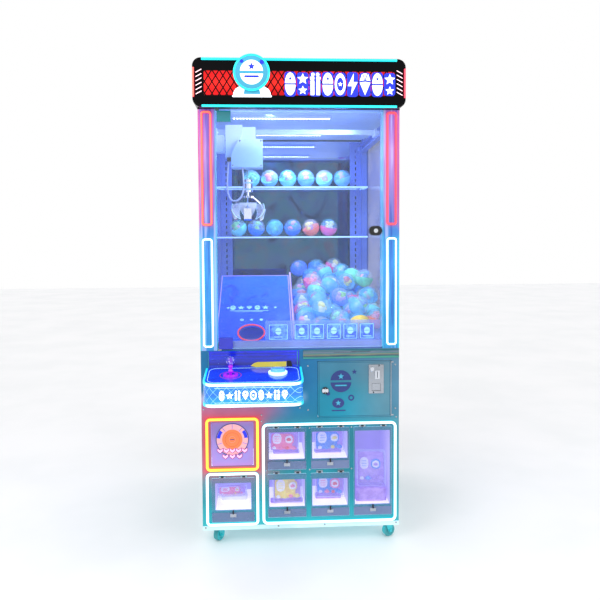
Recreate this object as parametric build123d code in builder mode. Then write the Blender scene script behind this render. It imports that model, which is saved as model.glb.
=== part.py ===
from build123d import *
import math
import os

os.makedirs("parts", exist_ok=True)

# ---------------------------------------------------------------------------
# Claw-type capsule toy vending machine.  Millimetres, +Z up, front towards -Y.
# Origin on the floor under the middle of the overall box.
# ---------------------------------------------------------------------------

# driving dimensions
BODY_W = 850.0          # cabinet width
BODY_D = 880.0          # cabinet depth
DESK_OUT = 195.0        # control desk in front of the cabinet
REAR_OUT = 10.0         # rear lock in the back
F = -(BODY_D + REAR_OUT - DESK_OUT) / 2     # front plane of the cabinet
B = F + BODY_D                              # rear plane of the cabinet
HW = BODY_W / 2
TRAY_Z0, TRAY_Z1 = 75.0, 94.0               # base tray
SPLIT_Z = 852.0                             # top of lower cabinet
DECK_Z = 870.0                              # play deck surface
ROOF_Z = 1865.0                             # underside of roof
COL_W = 73.0                                # light column width
COL_D = 60.0
SHEET = 12.0                                # front sheet
SIDE_T = 18.0                               # side panels

MARQ_W, MARQ_Z0, MARQ_Z1 = 880.0, 1862.0, 2065.0
MARQ_Y0, MARQ_Y1 = F - 47.0, F + 105.0

CAPSULE_D = 94.6
SHELF_Z = (1329.0, 1593.0)
SHELF_DEPTH = 150.0

DESK_X0, DESK_X1 = -403.0, 3.0
DESK_Z0 = 672.0
DESK_REAR, DESK_FRONT = 779.0, 753.0        # height of its sloping top at the cabinet and at the front edge
TILT = math.atan2(DESK_REAR - DESK_FRONT, DESK_OUT)
TOP = Plane(origin=(0, F, DESK_REAR), x_dir=(1, 0, 0), z_dir=(0, -math.sin(TILT), math.cos(TILT)))
STICK_X, STICK_Y, STICK_PIVOT_Z = -294.0, F - 95.0, 735.0
BUTTON_X, BUTTON_Y = -100.0, F - 75.0

PRIZE = (-385.0, -205.0, 352.0, 545.0)      # prize opening
COIN = (71.5, 390.5, 554.5, 799.5)          # coin door opening
# locker panes: centre x, width, z low, z high, window half width, window z low, window z high
LOCKERS = (
    (-62.0, 166.0, 334.0, 514.0, 77.0, 374.0, 495.0),
    (124.0, 166.0, 334.0, 514.0, 77.0, 374.0, 495.0),
    (309.0, 166.0, 126.0, 514.0, 77.0, 167.0, 495.0),
    (-62.0, 166.0, 126.0, 316.0, 77.0, 166.0, 289.0),
    (124.0, 166.0, 126.0, 316.0, 77.0, 166.0, 289.0),
    (-293.5, 183.0, 112.0, 304.0, 77.0, 158.0, 280.0),
)
HINGE_Y = F - 5.5

GANTRY_Z = 1790.0
BRIDGE_Y = F + 290.0
TROLLEY_X, TROLLEY_Y = -225.0, F + 275.0
CLAW_X, CLAW_Y = TROLLEY_X, TROLLEY_Y

CASTERS = {"fl": (-372.0, F + 55.0), "fr": (372.0, F + 55.0),
           "rl": (-372.0, B - 55.0), "rr": (372.0, B - 55.0)}


def slab(x0, x1, y0, y1, z0, z1, mode=Mode.ADD):
    """axis-aligned block between two corners, inside the open part"""
    with Locations(((x0 + x1) / 2, (y0 + y1) / 2, (z0 + z1) / 2)):
        Box(x1 - x0, y1 - y0, z1 - z0, mode=mode)


def rod(p, axis, radius, length, mode=Mode.ADD):
    """cylinder centred on p along X, Y or Z, inside the open part"""
    turn = {"x": (0, 90, 0), "y": (90, 0, 0), "z": (0, 0, 0)}[axis]
    with Locations(Location(p, turn)):
        Cylinder(radius, length, mode=mode)


def front(y):
    """plane facing the player at depth y; extrude(amount=-t) runs backwards"""
    return Plane.XZ.offset(-y)


def save(part, name):
    part.label = name
    export_step(part, f"parts/{name}.step")


# ---------------------------------------------------------------------------
# casters: swivel fork and wheel at each corner
# ---------------------------------------------------------------------------
WHEEL_R, WHEEL_W, TRAIL = 28.0, 22.0, 20.0
SWIVEL = {"fl": -35.0, "fr": -65.0, "rl": 20.0, "rr": -25.0}
for key, (cx, cy) in CASTERS.items():
    ax = cy + TRAIL
    with BuildPart() as fork:
        rod((cx, cy, 67.5), "z", 20, 8)
        slab(cx - 19, cx + 19, cy - 4, ax + 12, 60, 64)
        for s in (-1, 1):
            with BuildSketch(Plane.YZ.offset(cx + s * 15.5)):
                with BuildLine():
                    Polyline((cy - 4, 63), (ax + 12, 63), (ax + 9, 24), (ax + 4, 19),
                             (ax - 4, 19), (ax - 9, 24), (cy - 4, 63))
                make_face()
            extrude(amount=1.5, both=True)
        rod((cx, ax, 28), "x", 4, 38)
        for s in (-1, 1):
            rod((cx + s * 19, ax, 28), "x", 6.5, 4)
        rod((cx, cy, 66), "z", 6.1, 16, mode=Mode.SUBTRACT)
    pivot = Axis((cx, cy, 0), (0, 0, 1))
    save(fork.part.rotate(pivot, SWIVEL[key]), f"caster_fork_{key}")

    with BuildPart() as wheel:
        rod((cx, ax, 28), "x", WHEEL_R, WHEEL_W)
        fillet(wheel.edges().filter_by(GeomType.CIRCLE), 4)
        for s in (-1, 1):
            rod((cx + s * WHEEL_W / 2, ax, 28), "x", 17, 5, mode=Mode.SUBTRACT)
        for s in (-1, 1):
            rod((cx + s * (WHEEL_W / 2 - 2), ax, 28), "x", 8, 4)
        rod((cx, ax, 28), "x", 4.1, 40, mode=Mode.SUBTRACT)
    save(wheel.part.rotate(pivot, SWIVEL[key]), f"caster_wheel_{key}")

# ---------------------------------------------------------------------------
# lower cabinet
# ---------------------------------------------------------------------------
with BuildPart() as base_tray:
    slab(-HW, HW, F, B, TRAY_Z0, TRAY_Z1)
    fillet(base_tray.edges().filter_by(Axis.Z), 4)
    slab(-HW + 14, HW - 14, F + 14, B - 14, TRAY_Z0 + 4, TRAY_Z1 + 1, mode=Mode.SUBTRACT)
    for cx, cy in CASTERS.values():
        slab(cx - 32, cx + 32, cy - 32, cy + 32, 72, 76)
        rod((cx, cy, 67), "z", 6, 12)
        rod((cx, cy, 61.5), "z", 6, 3)
save(base_tray.part, "base_tray")

with BuildPart() as cabinet_panels:
    # two side panels
    slab(-HW, -HW + SIDE_T, F + SHEET, B - SHEET, TRAY_Z1, SPLIT_Z)
    slab(HW - SIDE_T, HW, F + SHEET, B - SHEET, TRAY_Z1, SPLIT_Z)
    # rear sheet with service opening, inlet cut-out and vents
    slab(-HW, HW, B - SHEET + 0.0, B, TRAY_Z1, ROOF_Z)
    slab(-300, 300, B - 20, B + 5, 150, 800, mode=Mode.SUBTRACT)
    slab(340, 392, B - 20, B + 5, 180, 240, mode=Mode.SUBTRACT)
    with Locations(*[(0, B - 6, 1780 + 12 * i) for i in range(5)]):
        Box(260, 30, 5, mode=Mode.SUBTRACT)
save(cabinet_panels.part, "cabinet_panels")

with BuildPart() as front_panel:
    slab(-HW, HW, F, F + SHEET, TRAY_Z1, SPLIT_Z)
    fillet(front_panel.edges().filter_by(Axis.Z).sort_by(Axis.Y)[:2], 5)
    for cx, w, z0, z1, hw, wz0, wz1 in LOCKERS:
        with BuildSketch(front(F - 1)):
            with Locations((cx, (wz0 + wz1) / 2)):
                RectangleRounded(2 * hw, wz1 - wz0, 4)
        extrude(amount=-(SHEET + 2), mode=Mode.SUBTRACT)
    slab(PRIZE[0], PRIZE[1], F - 1, F + SHEET + 1, PRIZE[2], PRIZE[3], mode=Mode.SUBTRACT)
    slab(COIN[0], COIN[1], F - 1, F + SHEET + 1, COIN[2], COIN[3], mode=Mode.SUBTRACT)
    # blind pivot holes of the prize flap
    rod(((PRIZE[0] + PRIZE[1]) / 2, F + 6, 538), "x", 2.6, PRIZE[1] - PRIZE[0] + 12, mode=Mode.SUBTRACT)
    # reflective ledge above the coin door
    slab(10, HW - 2, F - 5, F + 1, 812, 849)
save(front_panel.part, "front_panel")

with BuildPart() as deck_board:
    slab(-HW, HW, F + SHEET + 1, B - SHEET, SPLIT_Z, DECK_Z)
    # chute mouth
    slab(-273, -152, F + 52, F + 176, SPLIT_Z - 1, DECK_Z + 1, mode=Mode.SUBTRACT)
    # sloping floor under the capsules
    with BuildSketch(Plane.YZ.offset(-14)):
        with BuildLine():
            Polyline((F + 66, DECK_Z - 1), (B - 34, DECK_Z - 1), (B - 34, 1036), (F + 66, 876), (F + 66, DECK_Z - 1))
        make_face()
    extrude(amount=402)
    # sill rail under the glass door, in front of the deck
    slab(-351, 351, F + 14, F + 44, DECK_Z - 1, 886)
save(deck_board.part, "deck_board")

W = 2.0
with BuildPart() as compartment_liners:
    for cx, w, z0, z1, hw, wz0, wz1 in LOCKERS:
        # five-sided tray open to the front, with a lit ceiling
        slab(cx - hw - W, cx + hw + W, F + SHEET, F + SHEET + 232, wz0 - W - 3, wz1 + W + 3)
        slab(cx - hw, cx + hw, F + SHEET - 1, F + SHEET + 230, wz0 - 3, wz1 + 3, mode=Mode.SUBTRACT)
    # prize bin with chute duct down from the deck
    slab(-398, -147, F + SHEET, F + SHEET + 232, 345, 562)
    slab(-395, -150, F + SHEET - 1, F + SHEET + 230, 348, 559, mode=Mode.SUBTRACT)
    slab(-277, -148, F + 48, F + 180, 560, SPLIT_Z - 0.5)
    slab(-274, -151, F + 51, F + 177, 555, SPLIT_Z + 1, mode=Mode.SUBTRACT)
save(compartment_liners.part, "compartment_liners")

with BuildPart() as service_internals:
    # cabinet shelf, power supply, control board on stand-offs, cash box under the coin chute
    slab(-390, 390, F + 300, B - 60, 330, 342)
    slab(-330, -130, 60, 170, 342.5, 392)
    with Locations(*[(x, y, 347) for x in (-60, 100) for y in (70, 190)]):
        Cylinder(3, 9)
    slab(-70, 110, 60, 200, 352, 354)
    slab(-50, -10, 80, 120, 354.2, 366)
    slab(20, 80, 90, 140, 354.2, 360)
    slab(180, 360, 20, 210, 342.5, 470)
    slab(184, 356, 24, 206, 347, 475, mode=Mode.SUBTRACT)
    slab(176, 364, 16, 214, 470.5, 476)
    slab(240, 300, 80, 140, 469, 480, mode=Mode.SUBTRACT)
save(service_internals.part, "service_internals")

with BuildPart() as service_door:
    slab(-298.5, 298.5, B - 9, B - 1, 151.5, 798.5)
    # folded louvres near the foot
    with Locations(*[(0, B - 5, 200 + 14 * i) for i in range(7)]):
        Box(300, 20, 5, mode=Mode.SUBTRACT)
    rod((-262, B + 4, 480), "y", 11, 12)
    rod((-262, B + 10, 480), "y", 4, 4, mode=Mode.SUBTRACT)
    slab(-268, -256, B - 14, B - 8, 455, 480)
    # hinge wire up the edge
    rod((298.5, B - 1, 475), "z", 1.3, 630)
save(service_door.part, "service_door")

with BuildPart() as power_inlet:
    slab(340.3, 391.7, B - 30, B - 0.5, 180.3, 239.7)
    slab(334, 398, B, B + 3, 174, 246)
    slab(341, 391, B - 2, B + 1, 181, 239)
    # three-pole male socket recess and the switch well
    with BuildSketch(Plane.XZ.offset(-(B + 4))):
        with Locations((366, 197)):
            RectangleRounded(27, 20, 4)
    extrude(amount=22, mode=Mode.SUBTRACT)
    with Locations(*[(x, B - 12, 197) for x in (358, 374)]):
        Box(2, 14, 6)
    with Locations((366, B - 12, 201)):
        Box(2, 14, 5)
    slab(352, 380, B - 24, B + 4, 214, 236, mode=Mode.SUBTRACT)
save(power_inlet.part, "power_inlet")

with BuildPart() as power_switch:
    with BuildSketch(Plane.YZ.offset(353)):
        with BuildLine():
            Polyline((B - 10, 216.5), (B + 1.5, 216.5), (B + 0.0, 225), (B + 3.2, 233.5), (B - 10, 233.5), (B - 14, 225), (B - 10, 216.5))
        make_face()
    extrude(amount=26)
    rod((366, B - 3, 225), "x", 1.5, 27.4)
save(power_switch.part, "power_switch")

# ---------------------------------------------------------------------------
# coin door with coin mechanism
# ---------------------------------------------------------------------------
with BuildPart() as coin_door:
    slab(73, 389, F - 1.5, F + 10, 556, 798)
    fillet(coin_door.edges().filter_by(Axis.Y), 5)
    slab(78, 384, F + 1.5, F + 11, 561, 793, mode=Mode.SUBTRACT)
    slab(294, 350, F - 3, F + 12, 664, 776, mode=Mode.SUBTRACT)
    rod((104, F, 673.4), "y", 11.1, 10, mode=Mode.SUBTRACT)
    # hinge wire up the right edge, stopping short of the cabinet's two knuckles
    for z0, z1 in ((558.6, 565.4), (788.6, 795.4)):
        slab(385.8, 391, F - 4, F + 2.4, z0, z1, mode=Mode.SUBTRACT)
    rod((389, F - 1.5, 677), "z", 1.9, 222.8)
save(coin_door.part, "coin_door")

with BuildPart() as coin_door_lock:
    rod((104, F + 3, 673.4), "y", 11, 20)
    rod((104, F - 5, 673.4), "y", 15, 4)
    fillet(coin_door_lock.faces().sort_by(Axis.Y)[0].edges(), 1.5)
    slab(102.8, 105.2, F - 9, F - 4, 668, 679, mode=Mode.SUBTRACT)
    slab(98, 110, F + 13, F + 16, 645, 676)
save(coin_door_lock.part, "coin_door_lock")

with BuildPart() as coin_plate:
    with BuildSketch(front(F - 6)):
        with Locations((324, 720)):
            RectangleRounded(66, 126, 4)
    extrude(amount=-4)
    fillet(coin_plate.faces().sort_by(Axis.Y)[0].outer_wire().edges(), 1.5)
    rod((306, F - 4, 764), "y", 9.2, 10, mode=Mode.SUBTRACT)
    # raised coin entry
    slab(318, 338, F - 12, F - 5, 722, 758)
    slab(326.6, 329.4, F - 13, F + 3, 726, 754, mode=Mode.SUBTRACT)
    # return cup
    slab(303, 345, F - 3, F + 34, 666, 704)
    slab(305, 343, F - 7, F + 32, 668, 702, mode=Mode.SUBTRACT)
    rod((324, F - 4, 700), "x", 1.3, 40, mode=Mode.SUBTRACT)
save(coin_plate.part, "coin_plate")

with BuildPart() as reject_button:
    rod((306, F - 3, 764), "y", 9, 18)
    fillet(reject_button.faces().sort_by(Axis.Y)[0].edges(), 2)
save(reject_button.part, "reject_button")

with BuildPart() as coin_return_flap:
    slab(306, 342, F - 5, F - 3, 670, 699.5)
    rod((324, F - 4, 700), "x", 1.2, 39.4)
    rod((324, F - 4, 700), "x", 1.2, 36)
save(coin_return_flap.part, "coin_return_flap")

# ---------------------------------------------------------------------------
# prize flap and the six locker doors, with their hinges
# ---------------------------------------------------------------------------
with BuildPart() as prize_door:
    slab(PRIZE[0] + 2, PRIZE[1] - 2, F + 3.5, F + 8.5, PRIZE[2] + 2, PRIZE[3] - 2)
    fillet(prize_door.edges().filter_by(Axis.Y).group_by(Axis.Z)[0], 10)
    rod(((PRIZE[0] + PRIZE[1]) / 2, F + 6, 538), "x", 2.5, PRIZE[1] - PRIZE[0] + 10)
    # raised boss behind the round window decoration
    with BuildSketch(front(F + 2.5)):
        with Locations((-295, 468)):
            Circle(52)
    extrude(amount=-2)
save(prize_door.part, "prize_door")

HINGE_DX = (-46.0, 46.0)
for n, (cx, w, z0, z1, hw, wz0, wz1) in enumerate(LOCKERS, start=1):
    zh = z1 + 4
    with BuildPart() as locker_door:
        with BuildSketch(front(F - 7)):
            with Locations((cx, (z0 + z1) / 2)):
                RectangleRounded(w, z1 - z0, 3)
        extrude(amount=-4)
        for dx in HINGE_DX:
            slab(cx + dx - 6, cx + dx + 6, F - 7, F - 3.5, z1 - 8, zh)
            rod((cx + dx, HINGE_Y, zh), "x", 3.4, 12)
            rod((cx + dx, HINGE_Y, zh), "x", 1.6, 14, mode=Mode.SUBTRACT)
        # latch keeper and pull bracket under the window
        slab(cx - 3, cx + 3, F - 16, F - 7, wz0 - 9, wz0 + 6)
        slab(cx - 13, cx + 13, F - 9.5, F - 7, wz0 - 24, wz0 - 10)
    save(locker_door.part, f"locker_door_{n}")

with BuildPart() as hinge_leaves:
    for cx, w, z0, z1, hw, wz0, wz1 in LOCKERS:
        zh = z1 + 4
        for dx in HINGE_DX:
            hx = cx + dx
            slab(hx - 14, hx + 14, F - 1.5, F, zh - 3, zh + 6)
            for s in (-1, 1):
                slab(hx + s * 10.2 - 3.8, hx + s * 10.2 + 3.8, HINGE_Y, F - 1, zh, zh + 3.4)
                rod((hx + s * 10.2, HINGE_Y, zh), "x", 3.4, 7.6)
            rod((hx, HINGE_Y, zh), "x", 1.5, 28)
    # knuckles of the coin door
    for z in (562, 792):
        rod((389, F - 1.5, z), "z", 1.9, 5.6)
        slab(389, 400, F - 1.5, F, z - 2.8, z + 2.8)
    # glass door pivot blocks, foot and head
    for z0, z1 in ((SPLIT_Z + 0.2, SPLIT_Z + 5), (1860, 1864.8)):
        slab(-351.5, -336, F + 0.2, F + 12, z0, z1)
        rod((-344, F + 5, (z0 + z1) / 2), "z", 4.1, 8, mode=Mode.SUBTRACT)
save(hinge_leaves.part, "hinge_leaves")

# ---------------------------------------------------------------------------
# light tubes: rounded loops standing on the faces
# ---------------------------------------------------------------------------
TUBE = 12.0


def ring(x0, x1, z0, z1, r, width=TUBE):
    """rounded rectangular band, inside the open sketch"""
    with Locations(((x0 + x1) / 2, (z0 + z1) / 2)):
        RectangleRounded(x1 - x0, z1 - z0, r)
        RectangleRounded(x1 - x0 - 2 * width, z1 - z0 - 2 * width, max(r - width, 2), mode=Mode.SUBTRACT)


def desk_outline(inset, rear=F, out=DESK_OUT):
    """plan outline of the desk, front corners rounded, inside the open line"""
    r = 46 - inset
    f = rear
    y = f - out
    Polyline((DESK_X0 + inset, y + 46), (DESK_X0 + inset, f), (DESK_X1 - inset, f), (DESK_X1 - inset, y + 46))
    ThreePointArc((DESK_X0 + inset, y + 46), (DESK_X0 + 46 - r * math.sqrt(0.5), y + 46 - r * math.sqrt(0.5)),
                  (DESK_X0 + 46, y + inset))
    Line((DESK_X0 + 46, y + inset), (DESK_X1 - 46, y + inset))
    ThreePointArc((DESK_X1 - 46, y + inset), (DESK_X1 - 46 + r * math.sqrt(0.5), y + 46 - r * math.sqrt(0.5)),
                  (DESK_X1 - inset, y + 46))


with BuildPart() as neon_white:
    for cx in (-390, 390):
        with BuildSketch(front(F - 8)):
            ring(cx - 23, cx + 23, 866, 1328, 14, 9)
        extrude(amount=-8)
    with BuildSketch(front(F - 10)):
        ring(-169, 412, 97, 537, 24)
        ring(-409, -182.6, 96, 328, 20)
    extrude(amount=-10)
    # two strips round the desk apron, the upper one along the sloping top
    for plane, rear, out, thick in ((Plane.XY.offset(DESK_Z0 - 13.6), F, DESK_OUT, 13.4), (TOP.offset(-11.8), -2.2, 194, 12.8)):
        with BuildSketch(plane):
            with BuildLine():
                desk_outline(0, rear, out)
            make_face()
            with BuildLine():
                desk_outline(9, rear, out)
            make_face(mode=Mode.SUBTRACT)
            with Locations(((DESK_X0 + DESK_X1) / 2, rear - 5)):
                Rectangle(DESK_X1 - DESK_X0 - 18, 30, mode=Mode.SUBTRACT)
        extrude(amount=thick)
save(neon_white.part, "neon_white")

with BuildPart() as neon_red:
    for s in (-1, 1):
        cx = s * 390
        with BuildSketch(front(F - 8)):
            ring(cx - 23, cx + 23, 1380, 1857, 14, 9)
        extrude(amount=-8)
        # end glow strips of the light box
        slab(s * 436 - 4, s * 436 + 4, MARQ_Y0 - 6, MARQ_Y0 - 0.2, 1905, 2025)
save(neon_red.part, "neon_red")

with BuildPart() as neon_cyan:
    slab(-402, 402, MARQ_Y0 - 7.5, MARQ_Y0 - 0.2, 2053, 2063)
    slab(-402, 402, MARQ_Y0 - 7.5, MARQ_Y0 - 0.2, 1864, 1874)
    fillet(neon_cyan.edges().filter_by(Axis.X), 3)
save(neon_cyan.part, "neon_cyan")

with BuildPart() as neon_yellow:
    with BuildSketch(front(F - 10)):
        ring(-408, -181.5, 334, 564, 20)
    extrude(amount=-10)
save(neon_yellow.part, "neon_yellow")

# ---------------------------------------------------------------------------
# control desk
# ---------------------------------------------------------------------------


with BuildPart() as desk_shell:
    with BuildSketch(Plane.XY.offset(DESK_Z0)):
        with BuildLine():
            desk_outline(3)
        make_face()
    extrude(amount=110)
    with BuildSketch(Plane.XY.offset(DESK_Z0 + 4)):
        with BuildLine():
            desk_outline(8)
        make_face()
    extrude(amount=110, mode=Mode.SUBTRACT)
    # rear wall of the shell, then the sloping rim
    slab(DESK_X0 + 4, DESK_X1 - 4, F - 5, F, DESK_Z0, 758)
    with BuildSketch(TOP.offset(-12)):
        Rectangle(1200, 900)
    extrude(amount=200, mode=Mode.SUBTRACT)
save(desk_shell.part, "desk_shell")

with BuildPart() as desk_top:
    with BuildSketch(TOP.offset(-7)):
        with BuildLine():
            desk_outline(9.5, -2.2, 194)
        make_face()
    extrude(amount=7)
    with BuildSketch(TOP.offset(-13)):
        with BuildLine():
            desk_outline(14, -2.2, 194)
        make_face()
    extrude(amount=6.5)
    # upstand against the cabinet
    slab(DESK_X0 + 10, DESK_X1 - 10, F - 6, F, 773, 850)
    rod((STICK_X, STICK_Y, 760), "z", 16, 40, mode=Mode.SUBTRACT)
    rod((BUTTON_X, BUTTON_Y, 760), "z", 12.5, 40, mode=Mode.SUBTRACT)
    # stick base ring
    rod((STICK_X, STICK_Y, 765.5), "z", 31, 14)
    rod((STICK_X, STICK_Y, 765.5), "z", 18, 30, mode=Mode.SUBTRACT)
    # button bezel
    rod((BUTTON_X, BUTTON_Y, 769.5), "z", 40, 15)
    fillet(desk_top.faces().sort_by(Axis.Z).filter_by(lambda f: abs(f.center().Z - 777) < 0.1).edges(), 3)
    rod((BUTTON_X, BUTTON_Y, 772), "z", 30.8, 14.2, mode=Mode.SUBTRACT)
    rod((BUTTON_X, BUTTON_Y, 760), "z", 12.5, 40, mode=Mode.SUBTRACT)
    # bearer lugs of the stick under the top
    for s in (-1, 1):
        slab(STICK_X + s * 24 - 3, STICK_X + s * 24 + 3, STICK_Y - 8, STICK_Y + 8, 727, 757)
    rod((STICK_X, STICK_Y, STICK_PIVOT_Z), "x", 2.1, 60, mode=Mode.SUBTRACT)
save(desk_top.part, "desk_top")

with BuildPart() as joystick_gimbal:
    rod((STICK_X, STICK_Y, STICK_PIVOT_Z), "z", 16, 9)
    rod((STICK_X, STICK_Y, STICK_PIVOT_Z), "z", 11, 12, mode=Mode.SUBTRACT)
    for s in (-1, 1):
        rod((STICK_X + s * 20.5, STICK_Y, STICK_PIVOT_Z), "x", 2, 12)
    rod((STICK_X, STICK_Y, STICK_PIVOT_Z), "y", 2.1, 40, mode=Mode.SUBTRACT)
save(joystick_gimbal.part, "joystick_gimbal")

with BuildPart() as joystick_stick:
    rod((STICK_X, STICK_Y, 765), "z", 5, 90)
    with Locations((STICK_X, STICK_Y, 826)):
        Sphere(19)
    rod((STICK_X, STICK_Y, 802), "z", 8, 12)
    rod((STICK_X, STICK_Y, STICK_PIVOT_Z), "y", 2, 30)
save(joystick_stick.part, "joystick_stick")

with BuildPart() as drop_button:
    rod((BUTTON_X, BUTTON_Y, 755.5), "z", 12, 31)
    rod((BUTTON_X, BUTTON_Y, 780.5), "z", 30.4, 20)
    fillet(drop_button.faces().sort_by(Axis.Z)[-1].edges(), 9)
save(drop_button.part, "drop_button")

# ---------------------------------------------------------------------------
# upper glass cabinet
# ---------------------------------------------------------------------------
with BuildPart() as light_columns:
    for s in (-1, 1):
        xa, xb = sorted((s * HW, s * (HW - COL_W)))
        slab(xa, xb, F, F + COL_D, SPLIT_Z, ROOF_Z)
        slab(xa + 3, xb - 3, F + 4, F + COL_D - 3, SPLIT_Z - 1, ROOF_Z + 1, mode=Mode.SUBTRACT)
    fillet(light_columns.edges().filter_by(Axis.Z).filter_by(lambda e: abs(e.center().Y - F) < 0.1), 4)
    # the deck carries the columns; clear it
    slab(-HW - 1, HW + 1, F + SHEET + 0.8, F + COL_D + 1, SPLIT_Z - 2, DECK_Z + 0.2, mode=Mode.SUBTRACT)
save(light_columns.part, "light_columns")

with BuildPart() as rear_posts:
    for s in (-1, 1):
        xa, xb = sorted((s * HW, s * (HW - 36)))
        slab(xa, xb, B - SHEET - 38, B - SHEET - 0.2, DECK_Z + 0.2, ROOF_Z - 0.2)
        slab(xa + 3, xb - 3, B - SHEET - 35, B - SHEET - 3, DECK_Z - 1, ROOF_Z + 1, mode=Mode.SUBTRACT)
    for s in (-1, 1):
        # slotted shelf upright
        xa, xb = sorted((s * 326, s * 388))
        slab(xa, xb, B - 30, B - 26, 1036.5, ROOF_Z - 15)
        slab(xa, xa + 3, B - 30, B - 22, 1036.5, ROOF_Z - 15)
        slab(xb - 3, xb, B - 30, B - 22, 1036.5, ROOF_Z - 15)
        with Locations(*[(s * 357, B - 28, 1065 + 32 * i) for i in range(24)]):
            Box(7, 12, 18, mode=Mode.SUBTRACT)
        # cantilever shelf arms
        for z in SHELF_Z:
            slab(s * 357 - 2, s * 357 + 2, B - 30 - SHELF_DEPTH + 8, B - 29, z - 16, z - 4.2)
            slab(s * 357 - 6, s * 357 + 6, B - 33, B - 29, z - 30, z - 4.2)
save(rear_posts.part, "rear_posts")

with BuildPart() as side_glass:
    for s in (-1, 1):
        xa, xb = sorted((s * 423, s * 417))
        slab(xa, xb, F + COL_D + 0.5, B - SHEET - 38.5, DECK_Z + 0.2, ROOF_Z - 0.2)
save(side_glass.part, "side_glass")

with BuildPart() as back_mirror:
    slab(-386, 386, B - 20, B - 14, 1036.5, ROOF_Z - 10)
save(back_mirror.part, "back_mirror")

with BuildPart() as ceiling_lights:
    for y in (F + 160, F + 640):
        slab(-290, 150, y - 11, y + 11, ROOF_Z - 9, ROOF_Z - 0.2)
        with Locations(*[(-280 + 14 * i, y, ROOF_Z - 10) for i in range(31)]):
            Box(6, 6, 3)
save(ceiling_lights.part, "ceiling_lights")

with BuildPart() as glass_door:
    slab(-350, 350.5, F + 1, F + 9, 860, 1857)
    fillet(glass_door.edges().filter_by(Axis.Y), 3)
save(glass_door.part, "glass_door")

with BuildPart() as glass_door_fittings:
    # U-shaped clamps with pivot pins, foot and head of the glass
    for z0, z1, zw, zp in ((860.2, 906, 858.2, 855.4), (1814, 1856.8, 1857.1, 1861.5)):
        slab(-346, -288, F - 2, F + 0.8, min(z0, zw), max(z1, zw + 2))
        slab(-346, -288, F + 9.2, F + 12, min(z0, zw), max(z1, zw + 2))
        slab(-346, -288, F - 2, F + 12, zw, zw + 1.7)
        rod((-344, F + 5, zp), "z", 2.0 * 2, 6.4)
    # oblong door lock clamped on the closing edge
    with BuildSketch(front(F - 8)):
        with Locations((322, 1356.5)):
            RectangleRounded(54, 40, 19)
    extrude(amount=-8.8)
    with BuildSketch(front(F + 9.2)):
        with Locations((322, 1356.5)):
            RectangleRounded(54, 40, 19)
    extrude(amount=-5)
    rod((322, F - 9, 1356.5), "y", 9, 4)
    slab(321, 323, F - 12, F - 9, 1352, 1361, mode=Mode.SUBTRACT)
save(glass_door_fittings.part, "glass_door_fittings")

# ---------------------------------------------------------------------------
# roof and marquee light box
# ---------------------------------------------------------------------------
with BuildPart() as header_box:
    with BuildSketch(front(MARQ_Y0)):
        with Locations((0, (MARQ_Z0 + MARQ_Z1) / 2 + 2)):
            RectangleRounded(MARQ_W, MARQ_Z1 - MARQ_Z0 - 4, 34)
    extrude(amount=-(MARQ_Y1 - MARQ_Y0))
    slab(-HW, HW, F, B, ROOF_Z, ROOF_Z + 15)
    with BuildSketch(front(MARQ_Y0 - 1)):
        with Locations((0, (MARQ_Z0 + MARQ_Z1) / 2 + 6)):
            RectangleRounded(MARQ_W - 8, MARQ_Z1 - MARQ_Z0 - 20, 30)
    extrude(amount=-(MARQ_Y1 - MARQ_Y0 - 3), mode=Mode.SUBTRACT)
save(header_box.part, "header_box")

with BuildPart() as marquee_face:
    with BuildSketch(front(MARQ_Y0 + 0.5)):
        with Locations((0, (MARQ_Z0 + MARQ_Z1) / 2 + 6)):
            RectangleRounded(MARQ_W - 9, MARQ_Z1 - MARQ_Z0 - 21, 29.5)
    extrude(amount=-5)
    # raised round emblem with a foot bar
    with BuildSketch(front(MARQ_Y0 - 14)):
        with Locations((-198, 2003)):
            Circle(74)
    extrude(amount=-6)
    with BuildSketch(front(MARQ_Y0 - 8.2)):
        with Locations((-198, 1990)):
            Circle(46)
    extrude(amount=-9)
save(marquee_face.part, "marquee_face")

# ---------------------------------------------------------------------------
# shelves, chute board and fence
# ---------------------------------------------------------------------------
with BuildPart() as glass_shelves:
    for z in SHELF_Z:
        slab(-400, 400, B - 34 - SHELF_DEPTH, B - 33.2, z - 4, z + 4)
        # posts pass at the rear corners
        slab(-430, -386, B - 60, B, z - 5, z + 5, mode=Mode.SUBTRACT)
        slab(386, 430, B - 60, B, z - 5, z + 5, mode=Mode.SUBTRACT)
save(glass_shelves.part, "glass_shelves")

CH_Y0, CH_Z0, CH_Y1, CH_Z1 = F + 62.0, 875.0, F + 540.0, 1138.0
CH_X0, CH_X1 = -368.0, -28.0
SL = math.atan2(CH_Z1 - CH_Z0, CH_Y1 - CH_Y0)
ny, nz = -math.sin(SL), math.cos(SL)
HOLE_X, HOLE_S = -212.0, 66.0
hole_y = CH_Y0 + HOLE_S * math.cos(SL)
hole_z = CH_Z0 + HOLE_S * math.sin(SL)

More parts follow.
